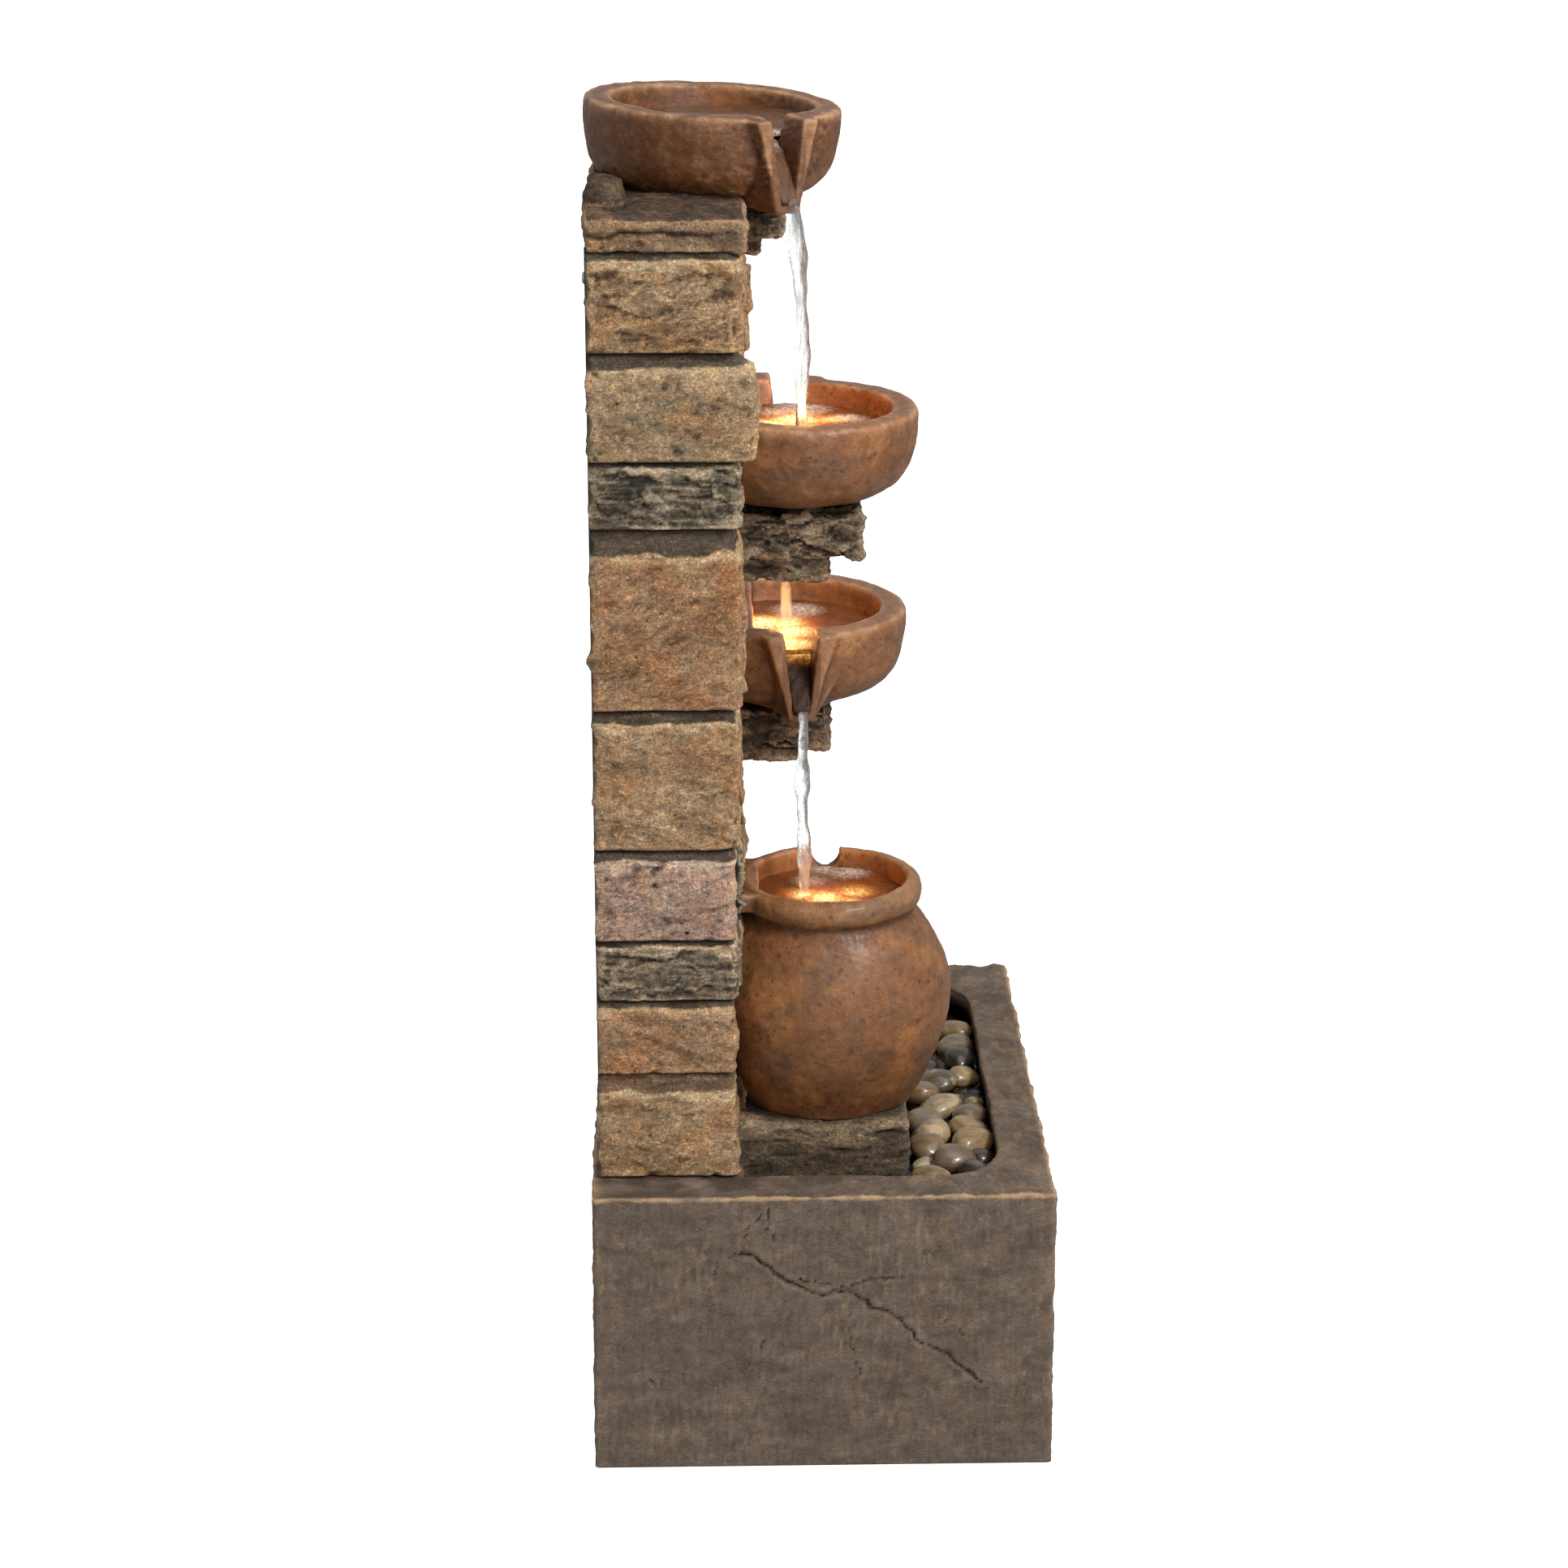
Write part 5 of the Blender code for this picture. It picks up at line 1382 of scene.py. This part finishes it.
def pebble_points(ball, size, centre, turn, seed):
    """A river-worn ellipsoid, a little uneven and egg-shaped."""
    lump = 1 + 0.10 * noise(ball, 1.1, seed) + 0.05 * noise(ball, 0.6, seed + 1)
    points = ball * lump[:, None]
    points[:, 0] *= 1 + 0.12 * points[:, 1]
    points = np.sign(points) * np.abs(points) ** 0.94 * size
    return points @ np.array(turn.to_matrix()).T + centre


def pebble_tint(points, choice):
    base = np.array(PEBBLE_TINTS[choice])
    other = np.array(PEBBLE_TINTS[(choice * 7 + 3) % len(PEBBLE_TINTS)])
    tint = np.broadcast_to(base, points.shape) * (1 + 0.18 * noise(points, 0.012, choice)[:, None])
    return mixed(tint, other, 0.6 * ramp(fractal(points, 0.012, choice + 60, 3), 0.2, 0.7))


def spread_pebbles(rng, fixed):
    """Places, sizes and turns of loose pebbles in the pool: scattered, then pushed apart from each
    other, from the fixed ones and from the plinth until they lie side by side in two layers."""
    count, large = 165, 118
    long = rng.uniform(0.0120, 0.0165, count)
    long[large:] *= 0.62
    sizes = np.column_stack(
        [long, long * rng.uniform(0.68, 0.90, count), long * rng.uniform(0.50, 0.68, count)]
    )
    reach = 0.5 * (sizes[:, 0] + sizes[:, 1])
    base = TRAY_TOP + sizes[:, 2] + 0.0125 * (rng.uniform(0, 1, count) > 0.60)
    places = np.column_stack([rng.uniform(*POOL_X, count), rng.uniform(*POOL_Y, count), base])
    solid = np.array([centre for centre, _ in fixed])
    everyone = np.concatenate([reach, [far for _, far in fixed]])
    flat = np.array([1, 1, 1.45])
    rounds, packed, longest, eased = 160, 0.92, 0.004, 0.35
    for _ in range(rounds):
        others = np.concatenate([places, solid])
        gap = (places[:, None] - others[None]) * flat
        apart = np.sqrt((gap**2).sum(2)) + 1e-9
        apart[np.arange(count), np.arange(count)] = 9.0
        push = np.clip(packed * (reach[:, None] + everyone[None]) - apart, 0, longest)
        step = (gap / apart[..., None] * push[..., None]).sum(1)
        places[:, :2] += eased * step[:, :2]
        into = (places[:, 0] < PLINTH_X + reach) & (places[:, 1] > PLINTH_Y - reach)
        nearer = (PLINTH_X + reach - places[:, 0]) < (places[:, 1] - PLINTH_Y + reach)
        places[:, 0] = np.where(into & nearer, PLINTH_X + reach, places[:, 0])
        places[:, 1] = np.where(into & ~nearer, PLINTH_Y - reach, places[:, 1])
        for axis, (low, high) in enumerate((POOL_X, POOL_Y)):
            places[:, axis] = np.clip(places[:, axis], low + reach, high - reach)
        hub = np.column_stack([
            np.sign(places[:, 0]) * (POOL_X[1] - POOL_CORNER),
            np.full(count, POOL_Y[0] + POOL_CORNER),
        ])
        out = places[:, :2] - hub
        far = np.hypot(out[:, 0], out[:, 1])
        over = (out[:, 0] * hub[:, 0] > 0) & (out[:, 1] < 0) & (far > POOL_CORNER - reach)
        pulled = hub + out * ((POOL_CORNER - reach) / np.maximum(far, 1e-6))[:, None]
        places[:, :2] = np.where(over[:, None], pulled, places[:, :2])
    kept = []
    for i in range(count):
        near = [(places[j], reach[j]) for j in kept] + fixed
        if all(
            np.linalg.norm((places[i] - other) * flat) > 0.70 * (reach[i] + far)
            for other, far in near
        ):
            kept.append(i)
    turns = [
        Euler((rng.uniform(-0.3, 0.3), rng.uniform(-0.3, 0.3), rng.uniform(0, math.pi)))
        for _ in kept
    ]
    return [(places[i], sizes[i], turn) for i, turn in zip(kept, turns)]


FIXED_PEBBLES = 12


def make_pebbles():
    """The pebbles of the CAD model, and a seeded fill of loose ones between and behind them."""
    ball, faces = unit_ball()
    rng = np.random.default_rng(19)
    fixed, points, corners, tints = [], [], [], []
    for number in range(1, FIXED_PEBBLES + 1):
        node = f"pebble_{number:02d}"
        low, high = (np.array(c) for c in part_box(node))
        size = (high - low) / 2 * rng.uniform(0.90, 1.02, 3)
        centre = (low + high) / 2 + rng.uniform(-0.0015, 0.0015, 3)
        turn = Euler((rng.uniform(-0.25, 0.25), rng.uniform(-0.25, 0.25), rng.uniform(-0.5, 0.5)))
        obj = new_object(
            node + "_stone", pebble_points(ball, size, centre, turn, 500 + number), faces
        )
        skin = Skin(obj)
        skin.paint(pebble_tint(skin.points, int(rng.integers(len(PEBBLE_TINTS)))))
        settled(obj, PEBBLE, "pebble", node)
        fixed.append((centre, 0.5 * (size[0] + size[1])))

    for centre, size, turn in spread_pebbles(rng, fixed):
        made = pebble_points(ball, size, centre, turn, 600 + len(points))
        corners += [[i + len(ball) * len(points) for i in face] for face in faces]
        points.append(made)
        tints.append(pebble_tint(made, int(rng.integers(len(PEBBLE_TINTS)))))
    loose = new_object("loose_pebbles", np.concatenate(points), corners)
    Skin(loose).paint(np.concatenate(tints))
    settled(loose, PEBBLE, "pebble")


# Water


POOL_HALF = np.array([0.1885, 0.1355])  # half the size of the water inside the tub
RIPPLES = (-0.012, -0.006)  # where the pot's overflow lands


def make_pool():
    """The water of the pool, between the tray and the surface."""
    loop = round_loop(-POOL_HALF, POOL_HALF, [0.003] * 4, [90, 120, 90, 120])
    rings = [level_ring(loop, TRAY_TOP + 0.002), level_ring(loop, POOL_WATER)]
    for share in np.linspace(0.02, 0.97, 70):
        rings.append(level_ring(loop * (1 - share), POOL_WATER))
    water = oriented(ringed("pool_water", rings))
    skin = Skin(water)
    top = skin.points[:, 2] > POOL_WATER - 0.001
    waves = 0.0005 * fractal(skin.points, 0.030, 701, 3)
    rings_out = flat_gap(skin.points, *RIPPLES)
    waves += 0.0005 * np.sin(rings_out / 0.0022) * np.exp(-rings_out / 0.035)
    skin.write(skin.points + np.array([0, 0, 1]) * np.where(top, waves, 0)[:, None])
    settled(water, POOL)


def make_surface(name, centre, radius, back, glow_at, foam_at, material):
    """The water in one bowl: a thin disc, cut off at the back plate, with foam and glow."""
    x, y, z = centre
    angles = np.linspace(0, 2 * math.pi, 160, endpoint=False)
    reach = np.full(len(angles), radius)
    if back:
        behind = np.sin(angles) > 1e-6
        reach[behind] = np.minimum(radius, (back - y) / np.sin(angles[behind]))
    rims = np.column_stack([np.cos(angles) * reach, np.sin(angles) * reach])
    shares = np.linspace(0.01, 1, 56)
    middle = np.array([x, y])
    water = ringed(
        name,
        [*[level_ring(middle + rims * s, z) for s in shares], level_ring(middle + rims, z - 0.003)]
    )
    oriented(water)
    skin = Skin(water)
    p = skin.points

    def near(spots):
        total = np.zeros(len(p))
        for sx, sy, size, strength in spots:
            total = np.maximum(total, strength * bell(flat_gap(p, sx, sy), 0.0, size))
        return total

    foam, glow = near(foam_at), near(glow_at)
    rough = fractal(p, 0.006, 720, 4, 0.6)
    lift = 0.0005 * fractal(p, 0.016, 721, 3) + unit(foam) * 0.0013 * np.abs(rough)
    lift += unit(glow) * 0.0009 * rough
    skin.write(p + np.array([0, 0, 1]) * np.where(p[:, 2] > z - 0.001, lift, 0)[:, None])
    skin.paint(foam, "foam")
    skin.paint(glow, "glow")
    settled(water, material)


def make_gutter_water(node, material, foamy, glowing):
    """The water running down a spout's gutter, from the bowl's surface to the tip, with foam and
    glow over its first part."""
    bowl = BOWLS[node]
    place, level = bowl_place(bowl, True), SURFACES[node]
    sections = []
    for run in np.linspace(0, 1, 30):
        u = GUTTER_U[0] + 0.0480 * run
        floor, half = np.interp(u, GUTTER_U, GUTTER_FLOOR), np.interp(u, GUTTER_U, GUTTER_HALF)
        top = (level - bowl["centre"][2]) * (1 - run**1.4) + (floor + 0.0030) * run**1.4
        top = max(top, floor + 0.0026)
        wide = half + (GUTTER_TOP_HALF - half) * (top - floor) / (GUTTER_TOP - floor) + 0.0003
        edge = [
            (u, s * wide, top - 0.0004 * abs(s) + 0.00045 * math.sin(u * 700 + 5 * s))
            for s in np.linspace(1, -1, 9)
        ]
        sections.append([(u, -half, floor - 0.0003), (u, half, floor - 0.0003), *edge])
    water = lofted(node + "_spout_water", sections, place)
    skin = Skin(water)
    along = np.repeat(np.linspace(0, 1, len(sections)), len(sections[0]))
    skin.paint(foamy * ramp(along, 0.75, 0.2), "foam")
    skin.paint(glowing * ramp(along, 0.60, 0.1), "glow")
    settled(water, material)


def make_stream(name, start, end, wide, seed):
    """A falling, twisting ribbon of water."""
    start, end = np.array(start), np.array(end)
    rings = []
    rng = np.random.default_rng(seed)
    phase = rng.uniform(0, 6, 4)
    angles = np.linspace(0, 2 * math.pi, 28, endpoint=False)
    for s in np.linspace(0, 1, 150):
        centre = start + (end - start) * np.array([math.sqrt(s), math.sqrt(s), s])
        centre[0] += 0.0006 * math.sin(9 * s + phase[0])
        centre[1] += 0.0007 * math.sin(7 * s + phase[1])
        a = wide * (1.05 - 0.25 * s) * (
            1 + 0.22 * math.sin(15 * s + phase[2]) + 0.08 * math.sin(47 * s + phase[3])
        )
        b = 0.55 * wide * (1 + 0.25 * math.sin(19 * s + phase[1]))
        twist = 2.6 * s + 0.6 * math.sin(6 * s + phase[0])
        ring = np.column_stack(
            [a * np.cos(angles), b * np.sin(angles) * (1 + 0.25 * np.cos(2 * angles + 8 * s))]
        )
        turned = ring @ np.array(
            [[math.cos(twist), math.sin(twist)], [-math.sin(twist), math.cos(twist)]]
        )
        rings.append([(centre[0] + x, centre[1] + y, centre[2]) for x, y in turned])
    water = lofted(name, rings)
    settled(water, STREAM)


def make_water():
    """The bowls' and the pot's water, the water in the spouts, the streams and the lights."""
    still = water_material("top_water", (0.10, 0.045, 0.022))
    lit = water_material("lit_water", (0.135, 0.038, 0.010), GLOW)
    running = water_material("spout_water", (0.034, 0.015, 0.007), GLOW)
    # radius, back where it is cut off, then lit and foaming spots: x, y, size, strength
    surfaces = {
        "top_bowl": (
            0.0612, None, [], [(-0.066, 0.032, 0.015, 1.0), (-0.056, 0.040, 0.010, 0.6)], still,
        ),
        "middle_bowl": (
            0.0605, BOWL_BACK_Y + 0.0005,
            [(-0.036, 0.014, 0.014, 1.0), (-0.048, 0.030, 0.013, 0.9), (-0.068, 0.026, 0.018, 0.5),
             (-0.036, -0.006, 0.010, 0.5)],
            [(-0.005, 0.010, 0.020, 1.0), (-0.033, -0.018, 0.014, 0.8),
             (-0.095, 0.012, 0.016, 0.9), (-0.012, 0.028, 0.014, 0.8)], lit,
        ),
        "lower_bowl": (
            0.0605, BOWL_BACK_Y + 0.0005,
            [(0.048, 0.034, 0.014, 1.0), (0.046, 0.018, 0.012, 0.8), (0.028, 0.014, 0.014, 0.8),
             (0.000, 0.012, 0.012, 0.6)],
            [(0.078, 0.010, 0.018, 1.0), (0.060, 0.016, 0.010, 0.8)], lit,
        ),
        "pot": (
            0.0492, None,
            [(-0.093, -0.003, 0.010, 0.85), (-0.087, 0.010, 0.009, 0.6),
             (-0.083, -0.022, 0.010, 0.5), (-0.100, -0.018, 0.009, 0.4)],
            [(-0.045, -0.020, 0.016, 0.8), (-0.062, 0.006, 0.014, 0.6),
             (-0.040, -0.004, 0.012, 0.8)], lit,
        ),
    }
    for name, details in surfaces.items():
        x, y = BOWLS[name]["centre"][:2] if name in BOWLS else POT_CENTRE
        make_surface(name + "_water", (x, y, SURFACES[name]), *details)
    make_gutter_water("top_bowl", still, 1.0, 0.0)
    make_gutter_water("middle_bowl", running, 0.8, 0.2)
    make_gutter_water("lower_bowl", running, 0.25, 0.9)
    make_stream(
        "upper_stream", (-0.0890, 0.0169, 0.7870), (-0.0980, 0.0110, 0.6385), wide=0.0050, seed=3
    )
    make_stream(
        "middle_stream", (0.0375, 0.0176, 0.6075), (0.0550, 0.0176, 0.4835), wide=0.0044, seed=4
    )
    make_stream(
        "lower_stream", (-0.0420, 0.0097, 0.4520), (-0.0820, 0.0100, 0.3435), wide=0.0048, seed=5
    )
    for name, place, power in (
        ("middle_glow", (-0.045, 0.010, 0.652), 0.085),
        ("lower_glow", (0.040, 0.020, 0.497), 0.085),
        ("pot_glow", (-0.090, -0.004, 0.356), 0.045),
    ):
        add_light(name, "POINT", place, power, color=(1.0, 0.43, 0.13), shadow_soft_size=0.012)


# The rest of the model keeps its CAD form and gets its finish


def finish_cad_nodes():
    finishes = {
        "black_plastic": moulded("black_plastic", (0.020, 0.020, 0.022), 0.42),
        "grey_plastic": moulded("grey_plastic", (0.115, 0.118, 0.125), 0.48),
        "rubber": moulded("soft_rubber", (0.022, 0.022, 0.022), 0.70, 0.0007, 0.00005),
        "cable": moulded("cable_jacket", (0.014, 0.014, 0.015), 0.50, 0.0008, 0.00004),
        "vinyl": moulded(
            "clear_vinyl", (0.60, 0.65, 0.64), 0.20, 0.003, 0.00005, Transmission_Weight=0.6
        ),
        "light_lens": grained(
            "light_lens", (0.0015, 2, 0.5), (1.0, 0.78, 0.36, 1), (1.0, 0.88, 0.55, 1),
            (0.15, 0.30),
            Transmission_Weight=0.3, Emission_Strength=6.0, Emission_Color=(1.0, 0.62, 0.20, 1),
        ),
        "steel": grained(
            "stainless_steel", (0.0006, 3, 0.6, (1, 8, 1)), (0.50, 0.50, 0.51, 1),
            (0.66, 0.66, 0.67, 1), (0.24, 0.42), 0.00003, Metallic=1.0,
        ),
        "shaft_ceramic": grained(
            "shaft_ceramic", (0.0009, 3, 0.6), (0.80, 0.80, 0.77, 1), (0.90, 0.90, 0.88, 1),
            (0.22, 0.36), Coat_Weight=0.3, Coat_Roughness=0.1,
        ),
        "base_resin": moulded("cast_back", (0.120, 0.095, 0.076), 0.82, 0.0022, 0.0005),
    }
    for part in frame["record"]["subparts"]:
        finish = finishes.get(part["material_slot"])
        if finish:
            node = NODES[part["node"]]
            node.data.materials.clear()
            node.data.materials.append(finish)


ROOM_LIGHT, GLOW = 0.48, 2.0  # the strength of the room's light and of the lights under water


def make_studio():
    """The pale floor, the white room, which lights less than it shows, and three soft lights."""
    floor = new_object("studio_floor",
                       [(-6, -6, -0.0005), (6, -6, -0.0005), (6, 6, -0.0005), (-6, 6, -0.0005)],
                       [(0, 1, 2, 3)])
    m = Nodes("studio_floor", Roughness=0.9)
    seen = m.seen()
    m.set(Base_Color=m.blend(grey(0.35), grey(0.97), seen))
    away = m.add("VectorMath", {"operation": "LENGTH"}).outputs["Value"]
    m.tree.links.new(m.place((1.0, 1.15, 1)), away.node.inputs[0])
    m.feed(m.shader.inputs["Emission Color"], grey(1.0))
    m.set(Emission_Strength=m.product(seen, m.ramp(away, 0.12, 0.20, 0.30, 1.0)))
    floor.data.materials.append(m.material)

    world = bpy.data.worlds.new("studio")
    world.use_nodes = True
    bpy.context.scene.world = world
    w = Tree(world.node_tree)
    w.tree.nodes.clear()
    mix = w.add("MixShader")
    w.feed(mix.inputs[0], w.seen())
    w.feed(mix.inputs[1], w.add("Background", Color=grey(1.0), Strength=ROOM_LIGHT).outputs[0])
    w.feed(mix.inputs[2], w.add("Background", Color=grey(1.0)).outputs[0])
    w.add("OutputWorld", Surface=mix.outputs[0])

    for name, place, target, size, power in (
        ("top_light", (-0.3, -0.5, 2.4), (0.0, 0.0, 0.4), 1.2, 7.0),
        ("near_light", (-1.3, -1.2, 2.0), (0.0, 0.0, 0.35), 0.5, 32.0),
        ("front_light", (-2.1, -0.9, 1.35), (0.0, 0.0, 0.4), 0.9, 8.0),
    ):
        lamp = add_light(name, "AREA", place, power, size=size)
        aim = Vector(target) - Vector(place)
        lamp.rotation_euler = aim.to_track_quat("-Z", "Y").to_euler()

    view = bpy.context.scene.view_settings
    view.view_transform = "Standard"
    view.look = "None"


def add_light(name, kind, place, power, **settings):
    light = bpy.data.lights.new(name, kind)
    light.energy = power
    for key, value in settings.items():
        setattr(light, key, value)
    return placed(name, light, place)


CAMERA_PLACE = (-2.309, 0.078, 1.162)
CAMERA_PITCH, CAMERA_YAW = math.radians(18.49), math.radians(1.43)


def make_camera():
    """A long lens from the left, looking a little down."""
    data = bpy.data.cameras.new("camera")
    data.lens = 85.83
    data.sensor_width = 36.0
    camera = placed("camera", data, CAMERA_PLACE)
    camera.rotation_euler = (math.pi / 2 - CAMERA_PITCH, 0.0, -math.pi / 2 - CAMERA_YAW)
    bpy.context.scene.camera = camera


STONE = stone_material("wall_stone", gain=1.20, grain=0.0022, contrast=0.60, bump=0.0017)
LEDGE_STONE = stone_material("ledge_stone", gain=1.10, grain=0.0024, contrast=0.66, bump=0.0018)
BASE_STONE = stone_material(
    "base_stone", gain=1.04, grain=0.0022, contrast=0.20, bump=0.0006, rough=(0.68, 0.88),
    cracked=True,
)
TERRACOTTA = terracotta_material()
PEBBLE = pebble_material()
STREAM = stream_material()
POOL = pool_material()

make_camera()
make_studio()
make_wall()
make_capping()
make_front_stones()
make_ledges()
make_plinth()
make_base()
for node, bowl in BOWLS.items():
    make_bowl(node, bowl)
make_pot()
make_pebbles()
make_pool()
make_water()
finish_cad_nodes()
